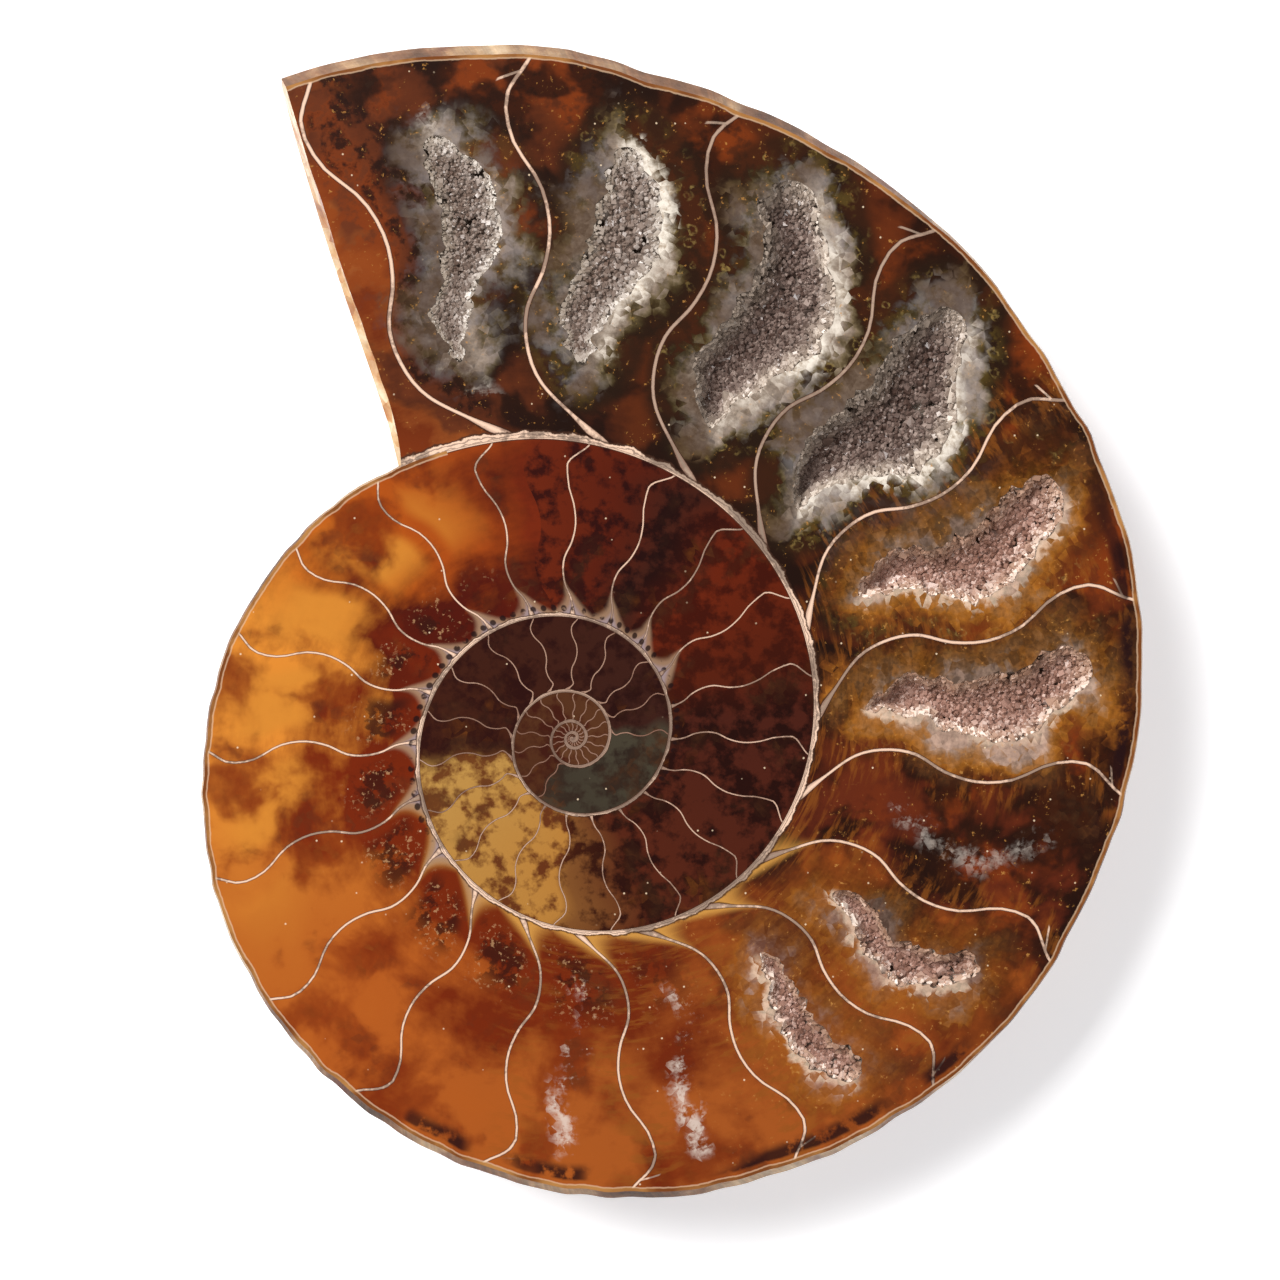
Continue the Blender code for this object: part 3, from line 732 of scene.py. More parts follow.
def polished_section(colours):
    """Nacre walls and honey calcite, sawn, ground and polished: a wet gloss over cloudy depth."""
    material, tree, shader = new_material("polished_calcite_and_nacre")

    def add(kind, inputs=(), **settings):
        return node(tree, kind, inputs, **settings)

    def where(*bands):
        """How far all of some bands hold. A band is a share, or rises smoothly from where it isn't
        to where it is full: (value, none at, full at, its most, its least)."""
        product = None
        for band in bands:
            if isinstance(band, tuple):
                names = ("Value", "From Min", "From Max", "To Max", "To Min")
                band = add("MapRange", dict(zip(names, band)), interpolation_type="SMOOTHSTEP")
            product = band if product is None else add("Math", {0: product, 1: band}, **TIMES)
        return product

    def paint(under, colour, *bands):
        """Lays a colour over what is under it, where all of some bands hold."""
        return add("Mix", {"Factor": where(*bands), "A": under, "B": colour}, data_type="RGBA")

    def total(first, *parts):
        """A first value and the sum of some more, each with its weight."""
        for value, weight in parts:
            first = add("Math", {0: value, 1: weight, 2: first}, operation="MULTIPLY_ADD")
        return first

    def off(value, centre=0.0):
        """How far a value is from a centre, either way."""
        return add("Math", {0: add("Math", {0: value, 1: centre}, **MINUS)}, operation="ABSOLUTE")

    place = add("TexCoord").outputs["Object"]
    pairs = {}
    for name in ("coil", "septum_mm", "wall_mm", "hollow_mm", "whorl_mm"):
        pairs[name] = add("SeparateXYZ", {0: add("UVMap", uv_map=name)}).outputs[:2]
    phase, height = pairs["coil"]
    from_septum, half_width = pairs["septum_mm"]
    from_inner, from_outer = pairs["wall_mm"]
    from_rim, from_veil = pairs["hollow_mm"]
    whorl, turns = pairs["whorl_mm"]
    to_septum = off(from_septum)
    fraction = add("Math", {0: phase}, operation="FRACT")
    chamber = add("Math", {0: phase}, operation="FLOOR")
    scale = add("Math", {0: half_width, 1: USUAL_HALF_WIDTH}, **DIVIDED_BY)
    in_last = add("Math", {0: turns, 1: -1.0}, operation="GREATER_THAN")

    clouds = add("TexNoise", {"Vector": place, "Scale": per_mm(5.5), "Detail": 4.0, "Distortion": 0.25})
    mottle = add("TexNoise", {"Vector": place, "Scale": per_mm(1.5), "Detail": 5.0, "Roughness": 0.6})
    grain = add("TexNoise", {"Vector": place, "Scale": per_mm(0.4), "Detail": 3.0, "Roughness": 0.65})
    swell = add("TexNoise", {"Vector": place, "Scale": per_mm(9.0), "Detail": 2.0, "Roughness": 0.4})
    warped = add("TexNoise", {"Vector": place, "Scale": per_mm(1.2), "Detail": 2.0}).outputs["Color"]
    warped = add("Mix", {"Factor": 0.0012, "A": place, "B": warped}, data_type="VECTOR")
    facets = add("TexVoronoi", {"Vector": warped, "Scale": per_mm(1.3)})
    facet = add("SeparateXYZ", {0: facets.outputs["Color"]}).outputs[0]
    shards = add("TexVoronoi", {"Vector": place, "Scale": per_mm(0.85)}).outputs["Color"]
    shards = add("SeparateXYZ", {0: shards}).outputs
    wobble = {}
    for name, value, low, high, reach in (
        ("phase", clouds, 0.3, 0.7, 0.4),
        ("light", mottle, 0.35, 0.65, 0.3),
        ("rim", mottle, 0.3, 0.7, 0.5),
        ("wide rim", clouds, 0.35, 0.65, 1.4),
        ("shard", shards[0], 0.0, 1.0, 0.55),
    ):
        ends = {"From Min": low, "From Max": high, "To Min": -reach, "To Max": reach}
        wobble[name] = add("MapRange", {"Value": value, **ends})

    # Fibres that stand on the septa, and fibres that stand on the rims of the hollows
    outwards = add("Math", {0: height, 1: whorl}, **TIMES)
    fibres = {}
    for name, across, squeeze in (("septum", to_septum, 0.28), ("rim", from_rim, 0.35)):
        across = add("Math", {0: across, 1: squeeze}, **TIMES)
        way = add("CombineXYZ", {"X": across, "Y": outwards, "Z": chamber})
        strands = {"Scale": 1.3, "Detail": 4.0, "Roughness": 0.62, "Distortion": 0.2}
        fibres[name] = add("TexNoise", {"Vector": way, **strands})

    # Clear calcite: deep tones and painted glow in soft clouds
    shaken = add("Math", {0: phase, 1: wobble["phase"]}, **PLUS)
    outer_place = add("MapRange", {"Value": shaken, "From Max": OUTER_END})
    inner_place = add("MapRange", {"Value": phase, "From Min": INNER_START, "From Max": INNER_END})
    inside = add("Math", {0: phase, 1: 20.5}, operation="GREATER_THAN")
    tones = []
    for outer_tones, column in ((DEEP_TONES, 1), (GLOW_TONES, 2)):
        outer_stops = [(count / OUTER_END, tone) for count, tone in outer_tones]
        inner_stops = [
            ((row[0] - INNER_START) / (INNER_END - INNER_START), row[column]) for row in INNER_TONES
        ]
        outer = add("ValToRGB", {"Fac": outer_place}, stops=outer_stops)
        inner = add("ValToRGB", {"Fac": inner_place}, stops=inner_stops)
        tones.append(paint(outer, inner, inside))
    left_side = where((phase, 9.5, 11.5), (phase, 20.4, 18.5))
    # Painted glow: the filling is painted lighter towards the whorl's outer wall, where light would
    # come back up through it, and darker towards its inner wall
    glow_by_height = {"From Min": 0.1, "From Max": 0.8, "To Min": -0.32, "To Max": 0.09}
    glow_by_height = add("MapRange", {"Value": height, **glow_by_height})
    light = total(clouds, (swell, 0.8), (mottle, 0.3), (wobble["light"], inside))
    light = total(light, (fibres["septum"], 0.2), (glow_by_height, total(0.3, (left_side, 1.1))))
    light = add("MapRange", {"Value": light, "From Min": 0.93, "From Max": 1.29})
    colour = paint(tones[0], tones[1], light)
    colour = paint(colour, "#6A2006", (clouds, 0.53, 0.38), left_side, 0.55)
    heart = where((off(fraction, 0.5), 0.42, 0.22))
    # Painted glow: honey patches high in the chambers of the far left, where light would come back up
    # through the calcite
    colour = paint(
        colour,
        "#B87428",
        (off(height, 0.76), 0.26, 0.06),
        heart,
        (clouds, 0.36, 0.58),
        (phase, 14.2, 15.6),
        (phase, 20.2, 18.4, 0.9),
    )
    # Darker brown low down in the middle of each chamber on the left side
    low_down = off(height, 0.27)
    dark_low_band = ((low_down, 0.2, 0.05), (mottle, 0.46, 0.56), 0.85)
    colour = paint(colour, "#2C0E08", heart, left_side, *dark_low_band)
    crumbs = ((low_down, 0.22, 0.1), (grain, 0.56, 0.64), (facet, 0.4, 0.6, 0.6))
    colour = paint(colour, "#A8805A", heart, left_side, *crumbs)
    dark_side = where((phase, 8.8, 7.8))
    embers = ((swell, 0.46, 0.56), (height, 0.2, 0.6, 0.85), (mottle, 0.38, 0.52), 0.8)
    colour = paint(colour, "#74300C", dark_side, *embers)

    # Brown shade, olive moss and small rings in the clear chambers, and fibres beside the septa
    colour = paint(colour, "#180B06", (clouds, 0.58, 0.47), dark_side, (phase, 1.0, 1.3), 0.85)
    colour = paint(colour, "#1C0C08", (phase, 1.0, 1.05), (phase, 1.55, 1.3), (mottle, 0.45, 0.62, 0.9))
    colour = paint(colour, "#20130A", (from_rim, 5.0, 3.4, 0.8), (phase, 6.2, 5.4), (phase, 1.8, 2.2))
    mossy = where((phase, 7.2, 6.3), (phase, 1.6, 2.4), (from_rim, 4.2, 2.2))
    colour = paint(colour, "#4A3A18", (mottle, 0.48, 0.62), (swell, 0.55, 0.4), mossy, 0.8)
    rings = ((off(facets, 0.3), 0.14, 0.02), (facet, 0.65, 0.75), (grain, 0.4, 0.6), 0.6)
    colour = paint(colour, "#8A7440", mossy, *rings)
    hairs = ((fibres["septum"], 0.48, 0.62), (to_septum, 3.4, 1.0, 0.6))
    colour = paint(colour, "#7A4416", *hairs, (phase, 13.0, 11.0), (phase, 4.6, 5.0))

    # Round the hollows: milky crystal that turns olive or amber and fades. Painted light: the lower
    # right side of each hollow, which the lamp lights, is painted whiter, and the other side darker
    lit_side = where((fraction, 0.38, 0.62))
    jitter = add("Math", {0: wobble["rim"], 1: wobble["shard"]}, **PLUS)
    rim = add("Math", {0: from_rim, 1: jitter}, **PLUS)
    wide_rim = add("Math", {0: rim, 1: wobble["wide rim"]}, **PLUS)
    ring_place = total(where((lit_side, 1.0, 0.0), (phase, 4.9, 5.1), 0.13), (wide_rim, 0.2))
    grey_ring, pink_ring = (
        add("ValToRGB", {"Fac": ring_place}, stops=stops) for stops in (GREY_RING, PINK_RING)
    )
    ring = paint(grey_ring, pink_ring, (phase, 4.95, 5.05))
    texture = total(0.0, (fibres["rim"], 0.5), (grain, 0.6), (shards[1], 0.18), (lit_side, 0.24))
    contrast = {"From Min": 0.52, "From Max": 1.06, "To Min": 0.3, "To Max": 1.35}
    texture = add("MapRange", {"Value": texture, **contrast})
    darker = {"data_type": "RGBA", "blend_type": "MULTIPLY"}
    ring = add("Mix", {"Factor": 1.0, "A": ring, "B": texture}, **darker)
    ring = paint(ring, "#817C80", (swell, 0.56, 0.42), (mottle, 0.6, 0.4, 0.35), (phase, 5.2, 4.8))
    # Partly painted shade: a darker smoky tone in clouds, strongest on the hollows' unlit side
    ring = paint(ring, "#4E3826", (clouds, 0.56, 0.44), (phase, 5.2, 4.8, 0.6, 0.25), (lit_side, 0.9, 0.0))
    reach = add("MapRange", {"Value": lit_side, "To Min": 1.7, "To Max": 1.1})
    outside = add("Math", {0: wide_rim, 1: reach}, **MINUS)
    share = where((outside, 1.2, -0.1, 0.92))
    share = paint(share, where((outside, 2.0, -0.4, 0.9)), (phase, 3.1, 2.9))
    share = paint(share, where((outside, 2.6, -0.8, 0.8)), (phase, 2.1, 1.9))
    share = paint(share, where((outside, 3.2, 0.8, 0.9)), (phase, 4.8, 5.2))
    colour = paint(colour, ring, share, (phase, 7.8, 8.2, 0.6, 1.0))
    # Painted highlight: the rim's teeth are painted whitest on the lit side
    bright = total(0.0, (lit_side, 0.5), (clouds, 1.2))
    narrow = add("Math", {0: rim, 1: where((phase, 4.9, 5.1, 1.1, 0.6))}, **TIMES)
    teeth = paint("#A08E7A", paint("#E2D8CA", "#C8AA92", (phase, 4.8, 5.2)), (texture, 0.6, 1.2))
    colour = paint(colour, teeth, (bright, 0.85, 1.15), (narrow, 0.8, 0.0), (phase, 1.9, 2.1, 0.9))
    veil = total(from_veil, (jitter, 0.9))
    veil = ((veil, 1.35, -0.3, 0.7), (texture, 0.7, 1.15), (phase, 7.9, 8.1, 0.9, 0.45))
    colour = paint(colour, "#D2C6BA", *veil)

    # Cream glow in the corners at the septa's feet, and lilac-grey fillets further in
    roots = [add("Math", {0: gap, 1: 0.5}, operation="POWER") for gap in (to_septum, off(from_inner))]
    corner = add("Math", {0: roots[0], 1: roots[1]}, **PLUS)
    colour = paint(colour, "#B8843E", (corner, 2.4, 1.5, 0.85), (phase, 7.4, 8.2), (phase, 15.5, 14.5))
    left = where((phase, 12.5, 13.5), (phase, 20.2, 19.5))
    upper = where((phase, 19.7, 19.9), (phase, 24.6, 24.2), 0.9)
    lilac = add("Math", {0: left, 1: upper}, operation="MAXIMUM")
    colour = paint(colour, "#8E7058", (corner, 2.15, 1.7, 0.85), lilac)
    colour = paint(colour, "#8A7A80", (corner, 1.7, 1.2, 0.8), lilac)

    # Dust and gold flecks in the stone
    specks = add("TexVoronoi", {"Vector": place, "Scale": per_mm(0.9)})
    lucky = add("SeparateXYZ", {0: specks.outputs["Color"]}).outputs[1]
    colour = paint(colour, "#E0C8A8", (specks, 0.13, 0.05), (lucky, 0.85, 0.92, 0.7))
    colour = paint(colour, "#A8763A", (grain, 0.6, 0.68), (mottle, 0.52, 0.6, 0.7), (phase, 11.0, 9.5))

    # Septa: thin nacre ribbons with brown edges, wider at their feet. The brown edges are partly
    # painted shade, and a painted highlight makes each ribbon lighter along its middle, as if it were
    # round
    foot = add("Math", {0: whorl, 1: 0.07}, **TIMES)
    foot = add("Math", {0: from_inner, 1: foot}, **DIVIDED_BY)
    across = add("Math", {0: half_width, 1: where((foot, 1.0, 0.1, 2.2, 0.8))}, **TIMES)
    across = add("Math", {0: to_septum, 1: across}, **DIVIDED_BY)
    nacre = paint("#8E7868", (*colours.nacre, 1.0), (total(clouds, (grain, 0.4)), 0.6, 0.74))
    nacre = paint(nacre, "#7E6C5E", (phase, 2.4, 2.6), (phase, 4.6, 4.4, 0.7))
    central = add("MapRange", {"Value": turns, "From Min": -0.9, "From Max": -2.6, "To Max": 0.75})
    nacre = paint(nacre, "#5A4034", central)
    # Painted highlight along each ribbon's middle, and partly painted shade on its brown edges
    lit_core = paint(paint(nacre, "#7A5040", 0.45), nacre, (across, 0.8, 0.1), (central, 0.5, 0.0))
    colour = paint(colour, "#2A160D", (across, 1.45, 0.95, 0.9))
    colour = paint(colour, lit_core, (across, 0.98, 0.72))

    # Hooks where the siphon's neck leaves a septum, near the outer wall
    hook_out = add("Math", {0: from_outer, 1: scale}, **DIVIDED_BY)
    hook_across = add("Math", {0: from_septum, 1: scale}, **DIVIDED_BY)
    slanted = off(total(1.5, (hook_across, 0.55), (hook_out, -1.0)))
    hook = ((slanted, 0.2, 0.08), (hook_across, 1.4, 1.2), (hook_across, -0.1, 0.0))
    colour = paint(colour, nacre, *hook, (phase, 1.4, 1.6), (phase, 12.0, 11.5, 0.8))

    # Walls between the whorls: layered nacre with lumps and a chain of dark beads outside it
    lump = {"From Min": 0.35, "From Max": 0.7, "To Min": -0.15, "To Max": 0.3}
    lump = add("MapRange", {"Value": mottle, **lump})
    walls = [add("Math", {0: off(gap), 1: scale}, **DIVIDED_BY) for gap in (from_inner, from_outer)]
    either = total(walls[1], (in_last, 10.0))
    either = add("Math", {0: total(walls[0], (lump, -1.0)), 1: either}, operation="MINIMUM")
    colour = paint(colour, "#3A241A", (either, 0.62, 0.42, 0.9))
    layers = add("Math", {0: add("Math", {0: either, 1: 18.0}, **TIMES)}, operation="SINE")
    layered = paint(nacre, "#5E4C44", (layers, 0.0, 0.9, 0.7))
    colour = paint(colour, layered, (either, 0.4, 0.28))
    bead = add("Math", {0: add("Math", {0: turns, 1: BEADS_PER_TURN}, **TIMES)}, operation="FRACT")
    bead, bead_out = off(bead, 0.5), off(from_inner, 0.62)
    bead = total(0.0, (bead, bead), (bead_out, bead_out))
    chain = ((turns, -1.42, -1.38), (turns, -0.68, -0.75), (mottle, 0.4, 0.5, 0.9))
    colour = paint(colour, "#1C0C0C", (bead, 0.11, 0.04), *chain)

    # The last whorl's own shell: brown and translucent, with one thin cream line and dark stains
    edge = total(from_outer, (lump, 0.25))
    shell = paint("#6A3A1A", "#A0703E", (clouds, 0.4, 0.65))
    colour = paint(colour, shell, (edge, 0.42, 0.22), in_last)
    colour = paint(colour, "#C9A98A", (off(edge, 0.34), 0.1, 0.03, 0.5), in_last)
    stain = ((edge, 0.6, 0.9), (edge, 2.4, 1.4), (swell, 0.46, 0.54), (mottle, 0.34, 0.5), 0.9)
    colour = paint(colour, "#1C0A0C", in_last, (phase, 5.0, 6.0), (phase, 13.4, 12.4), *stain)

    bump = add("Bump", {"Strength": 0.03, "Distance": 0.05 * MM, "Height": grain})
    gloss = {"Roughness": 0.18, "IOR": 1.5, "Specular IOR Level": 0.4}
    finish(tree, shader, {"Base Color": colour, "Normal": bump, **gloss})
    return material


# Growth lines of the shell, and how far they lag at the whorl's outer edge, in turns
LINES_PER_TURN = 260.0
LINE_BEND = 0.03


def natural_shell():
    """Weathered outer shell: tan and brown with dull nacre, growth lines and stains, half matt."""
    material, tree, shader = new_material("weathered_shell")
    place = node(tree, "TexCoord").outputs["Object"]
    coil = node(tree, "SeparateXYZ", {0: node(tree, "UVMap", uv_map="coil")}).outputs
    turns = node(tree, "SeparateXYZ", {0: node(tree, "UVMap", uv_map="whorl_mm")}).outputs[1]
    rough = {"Vector": place, "Detail": 6.0, "Roughness": 0.6}
    clouds = node(tree, "TexNoise", {"Scale": per_mm(9.0), **rough})
    gritty = {"Vector": place, "Detail": 4.0, "Roughness": 0.65}
    grit = node(tree, "TexNoise", {"Scale": per_mm(0.9), **gritty})
    stops = ((0.32, "#3E2616"), (0.46, "#7A5030"), (0.56, "#A8845C"), (0.72, "#CDB592"))
    tone = node(tree, "ValToRGB", {"Fac": clouds}, stops=stops)
    # Growth lines run across the whorl and bend forward towards its outer edge
    bend = node(tree, "Math", {0: coil[1], 1: coil[1]}, **TIMES)
    bend = node(tree, "Math", {0: bend, 1: LINE_BEND}, **TIMES)
    course = node(tree, "Math", {0: turns, 1: bend}, **MINUS)
    course = node(tree, "CombineXYZ", {"X": course})
    fine = {"Scale": LINES_PER_TURN, "Detail": 3.0, "Roughness": 0.7}
    lines = node(tree, "TexNoise", {"Vector": course, **fine})
    dark = {"Value": lines, "From Min": 0.42, "From Max": 0.6, "To Min": 0.62, "To Max": 1.12}
    darker = {"Factor": 0.8, "A": tone, "B": node(tree, "MapRange", dark)}
    tone = node(tree, "Mix", darker, data_type="RGBA", blend_type="MULTIPLY")
    rusty = {"Vector": place, "Detail": 5.0, "Distortion": 0.3}
    rust = node(tree, "TexNoise", {"Scale": per_mm(3.5), **rusty})
    rust = node(tree, "MapRange", {"Value": rust, "From Min": 0.56, "From Max": 0.68, "To Max": 0.75})
    tone = node(tree, "Mix", {"Factor": rust, "A": tone, "B": "#5E2A10"}, data_type="RGBA")
    relief = node(tree, "Math", {0: grit, 1: lines}, **PLUS)
    bump = node(tree, "Bump", {"Strength": 0.6, "Distance": 0.15 * MM, "Height": relief})
    gloss = {"Value": clouds, "From Min": 0.4, "From Max": 0.7, "To Min": 0.6, "To Max": 0.32}
    gloss = node(tree, "MapRange", gloss)
    finish(tree, shader, {"Base Color": tone, "Roughness": gloss, "Normal": bump})
    return material


def broken_calcite():
    """Snapped calcite filling: blocky cleavage faces from cream to brown, with a soft glint."""
    material, tree, shader = new_material("broken_calcite")
    place = node(tree, "TexCoord").outputs["Object"]
    rough = {"Vector": place, "Detail": 6.0, "Roughness": 0.6}
    clouds = node(tree, "TexNoise", {"Scale": per_mm(4.0), **rough})
    blocks = node(tree, "TexVoronoi", {"Vector": place, "Scale": per_mm(1.4)})
    block = node(tree, "SeparateXYZ", {0: blocks.outputs["Color"]})
    mixed = node(tree, "Math", {0: block, 1: 0.22}, **TIMES)
    mixed = node(tree, "Math", {0: clouds, 1: mixed}, **PLUS)
    stops = ((0.36, "#84461E"), (0.5, "#AC7442"), (0.62, "#C6A276"), (0.76, "#DCC8AA"))
    tone = node(tree, "ValToRGB", {"Fac": mixed}, stops=stops)
    height = node(tree, "Math", {0: blocks, 1: clouds}, **PLUS)
    bump = node(tree, "Bump", {"Strength": 0.8, "Distance": 0.35 * MM, "Height": height})
    finish(tree, shader, {"Base Color": tone, "Roughness": 0.35, "Normal": bump})
    return material


def hollow_pocket():
    """The wall behind the crystals of a hollow: sugary grey-brown calcite."""
    material, tree, shader = new_material("sugary_calcite")
    place = node(tree, "TexCoord").outputs["Object"]
    grains = node(tree, "TexVoronoi", {"Vector": place, "Scale": per_mm(0.25)})
    stops = ((0.1, "#5A4C42"), (0.6, "#7E7064"), (0.95, "#A89C90"))
    tone = node(tree, "ValToRGB", {"Fac": grains.outputs["Color"]}, stops=stops)
    bump = node(tree, "Bump", {"Strength": 0.8, "Distance": 0.2 * MM, "Height": grains})
    finish(tree, shader, {"Base Color": tone, "Roughness": 0.3, "Normal": bump})
    return material


def calcite_druse(name, shaded_deep_tones, milk):
    """Small clear to milky calcite crystals, pale at the rim of a hollow and darker further down, which
    is painted shade.
    """
    material, tree, shader = new_material(name)
    crystal = node(tree, "SeparateXYZ", {0: node(tree, "UVMap", uv_map="crystal")})
    tones = []
    for colours in (shaded_deep_tones, milk):
        stops = zip((0.0, 0.55, 1.0), colours)
        tones.append(node(tree, "ValToRGB", {"Fac": crystal.outputs[0]}, stops=stops))
    # Painted shade: crystals deep in a hollow take the darker tones, those near its rim the paler ones
    depth = node(tree, "MapRange", {"Value": crystal.outputs[1], "From Min": 0.8, "From Max": 0.15})
    tone = node(tree, "Mix", {"Factor": depth, "A": tones[0], "B": tones[1]}, data_type="RGBA")
    # A faint glow stands for the light that comes through the clear crystals
    glow = {"Emission Color": tone, "Emission Strength": 0.14}
    gloss = {"Roughness": 0.3, "IOR": 1.5, "Specular IOR Level": 0.35}
    finish(tree, shader, {"Base Color": tone, **gloss, **glow})
    return material


# A crystal one unit wide: its height, and how far every other corner of its belt is raised
CRYSTAL_HEIGHT = 0.85
BELT_RISE = 0.35


def dogtooth_crystal():
    """Models one crystal: a six-sided point on a zigzag belt. Returns its corners and faces."""
    deselect()
    bpy.ops.mesh.primitive_cone_add(vertices=6, radius1=0.5, radius2=0.0, depth=CRYSTAL_HEIGHT)
    crystal = bpy.context.object
    bpy.ops.object.mode_set(mode="EDIT")
    bpy.ops.mesh.select_mode(type="VERT")
    bpy.ops.mesh.select_all(action="DESELECT")
    bpy.ops.object.mode_set(mode="OBJECT")
    for vertex in crystal.data.vertices:
        vertex.select = vertex.co.z < 0.0 and vertex.index % 2 == 0
    bpy.ops.object.mode_set(mode="EDIT")
    bpy.ops.transform.translate(value=(0.0, 0.0, BELT_RISE))
    bpy.ops.object.mode_set(mode="OBJECT")
    corners = np.array([vertex.co[:] for vertex in crystal.data.vertices])
    faces = [list(polygon.vertices) for polygon in crystal.data.polygons]
    bpy.data.objects.remove(crystal, do_unlink=True)
    return corners, faces


def random_turns(rng, directions, spread):
    """Rotation matrices that point crystals along directions, each off by a random tilt."""
    up = directions + rng.normal(0.0, spread, directions.shape)
    up = up / np.linalg.norm(up, axis=1, keepdims=True)
    side = np.cross(up, rng.normal(size=up.shape))
    side = side / np.linalg.norm(side, axis=1, keepdims=True)
    return np.stack((side, np.cross(up, side), up), axis=2)


# The tones of the crystals deep down, darker there as painted shade, and near the rim, from the darkest
# crystal to the palest
DRUSE_TONES = (
    ("smoky_calcite", ("#48362F", "#74625A", "#A08E84"), ("#7A6C60", "#9C8C7E", "#C8BAAC")),
    ("rosy_calcite", ("#7A584A", "#A07C6E", "#D0B6AA"), ("#8E6C58", "#B4947F", "#E6D4C6")),
    ("milky_calcite", ("#5E4C42", "#86766C", "#AEA29A"), ("#86786A", "#A2968A", "#CEC4BA")),
)

# The crystals' bed curves up to the rim like a bowl; a higher power makes its floor flatter
BOWL_POWER = 2.0

# Some crystals are larger and sit lower, so that no gap shows between the small ones
BEDDED_SHARE = 0.3
BEDDED_SIZE = 2.6
BEDDED_SINK = 0.45

# How much the crystals differ in size and in tilt, and how far they stay under the polished face
SIZE_SPREAD = 0.35
TILT_SPREAD = 0.35
POLISH_GAP = 0.04 * MM
DRUSE_SEED = 70

# For each hollow: its tones, its crystals' size against the usual one, and how far they fill it
DRUSES = (
    (2, 0.8, 0.8),
    (2, 1.1, 0.75),
    (0, 1.0, 0.2),
    (0, 1.0, 0.2),
    (1, 0.9, 0.3),
    (1, 0.9, 0.3),
    (1, 1.0, 0.3),
    (1, 1.0, 0.3),
)


def grow_druse(number, shape, sizes, material, size, rise):
    """Covers one hollow's floor and walls with crystals, each a turned and scaled copy."""
    hollow = HOLLOWS[number]
    corners, faces = shape
    rng = np.random.default_rng(DRUSE_SEED + number)
    rim = hollow_rim(number)
    cross = np.roll(rim, -1, axis=0)
    area = abs(np.sum(rim[:, 0] * cross[:, 1] - rim[:, 1] * cross[:, 0])) / 2.0
    count = int(sizes.crystals_per_square_millimetre * area / MM**2 / size**1.5)
    along, across = rng.uniform(0.0, 1.0, count), rng.uniform(-1.0, 1.0, count)
    nearness = np.maximum(np.abs(across), np.abs(2.0 * along - 1.0) ** 3)
    level = 1.0 - nearness**BOWL_POWER
    phase, height = hollow_shape(hollow, along, across, 0.0, number)
    spots = chamber_point(phase, height, hollow[1] * MM * level * (1.0 - rise))
    inward = hollow_shape(hollow, 0.5 + (along - 0.5) * 0.8, across * 0.5, 0.0, number)
    inward = chamber_point(*inward, 0.0) - spots
    inward[:, 2] = 0.0
    inward = inward / np.maximum(np.linalg.norm(inward, axis=1, keepdims=True), 1e-6)
    # Crystals point up on the floor and lean in on the steep sides
    steep = (1.0 - level)[:, None]
    directions = inward * (0.3 + steep) + np.array((0.0, 0.0, 1.0)) * (1.2 - steep)
    size = size * sizes.crystal_size * rng.lognormal(0.0, SIZE_SPREAD, count)
    bedded = rng.uniform(0.0, 1.0, count) < BEDDED_SHARE
    size = np.where(bedded, BEDDED_SIZE * size, size)
    spots[:, 2] -= np.where(bedded, BEDDED_SINK * size, 0.0)
    turned = np.einsum("nij,kj->nki", random_turns(rng, directions, TILT_SPREAD), corners)
    placed = turned * size[:, None, None] + spots[:, None, :]
    placed[..., 2] = np.minimum(placed[..., 2], THICKNESS - POLISH_GAP)
    placed = placed.reshape(-1, 3)
    all_faces = [[c + k * len(corners) for c in face] for k in range(count) for face in faces]
    name = f"crystal_druse_{number + 1}"
    mesh = bpy.data.meshes.new(name)
    mesh.from_pydata(placed.tolist(), [], all_faces)
    mesh.materials.append(material)
    layer = mesh.uv_layers.new(name="crystal", do_init=False)
    loops = sum(len(face) for face in faces)
    # Random paleness, and painted light: crystals on the lower right side of a hollow, which the lamp
    # lights, are paler
    pale = np.clip(rng.uniform(0.0, 0.8, count) - 0.3 * across, 0.0, 1.0)
    tone = np.repeat(np.stack((pale, level), axis=1), loops, axis=0)
    layer.uv.foreach_set("vector", tone.astype(np.float32).reshape(-1))
    piece = bpy.data.objects.new(name, mesh)
    bpy.context.scene.collection.objects.link(piece)
    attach(piece, "root")
    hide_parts(f"crystal_crust_{number + 1}")


class AmmoniteSizes(bpy.types.PropertyGroup):
    """Sizes that can be changed before the pieces are made"""

    septum_width: FloatProperty(
        name="Septum width",
        description="Width of a chamber wall in the last whorl",
        default=0.44 * MM,
        unit="LENGTH",
    )
    crystal_size: FloatProperty(
        name="Crystal size",
        description="Typical width of a crystal in the hollows",
        default=0.36 * MM,
        unit="LENGTH",
    )
    crystals_per_square_millimetre: FloatProperty(
        name="Crystals per square millimetre",
        description="How densely crystals cover the hollows",
        default=26.0,
    )


class AmmoniteColours(bpy.types.PropertyGroup):
    """Colours that can be changed before the pieces are made"""

    nacre: FloatVectorProperty(
        name="Nacre",
        description="Cream-pink of the septa and walls",
        subtype="COLOR",
        default=linear("#D9B8A0")[:3],
    )
    floor: FloatVectorProperty(
        name="Floor",
        description="Pale floor under the fossil",
        subtype="COLOR",
        default=linear("#F9F9F9")[:3],
    )


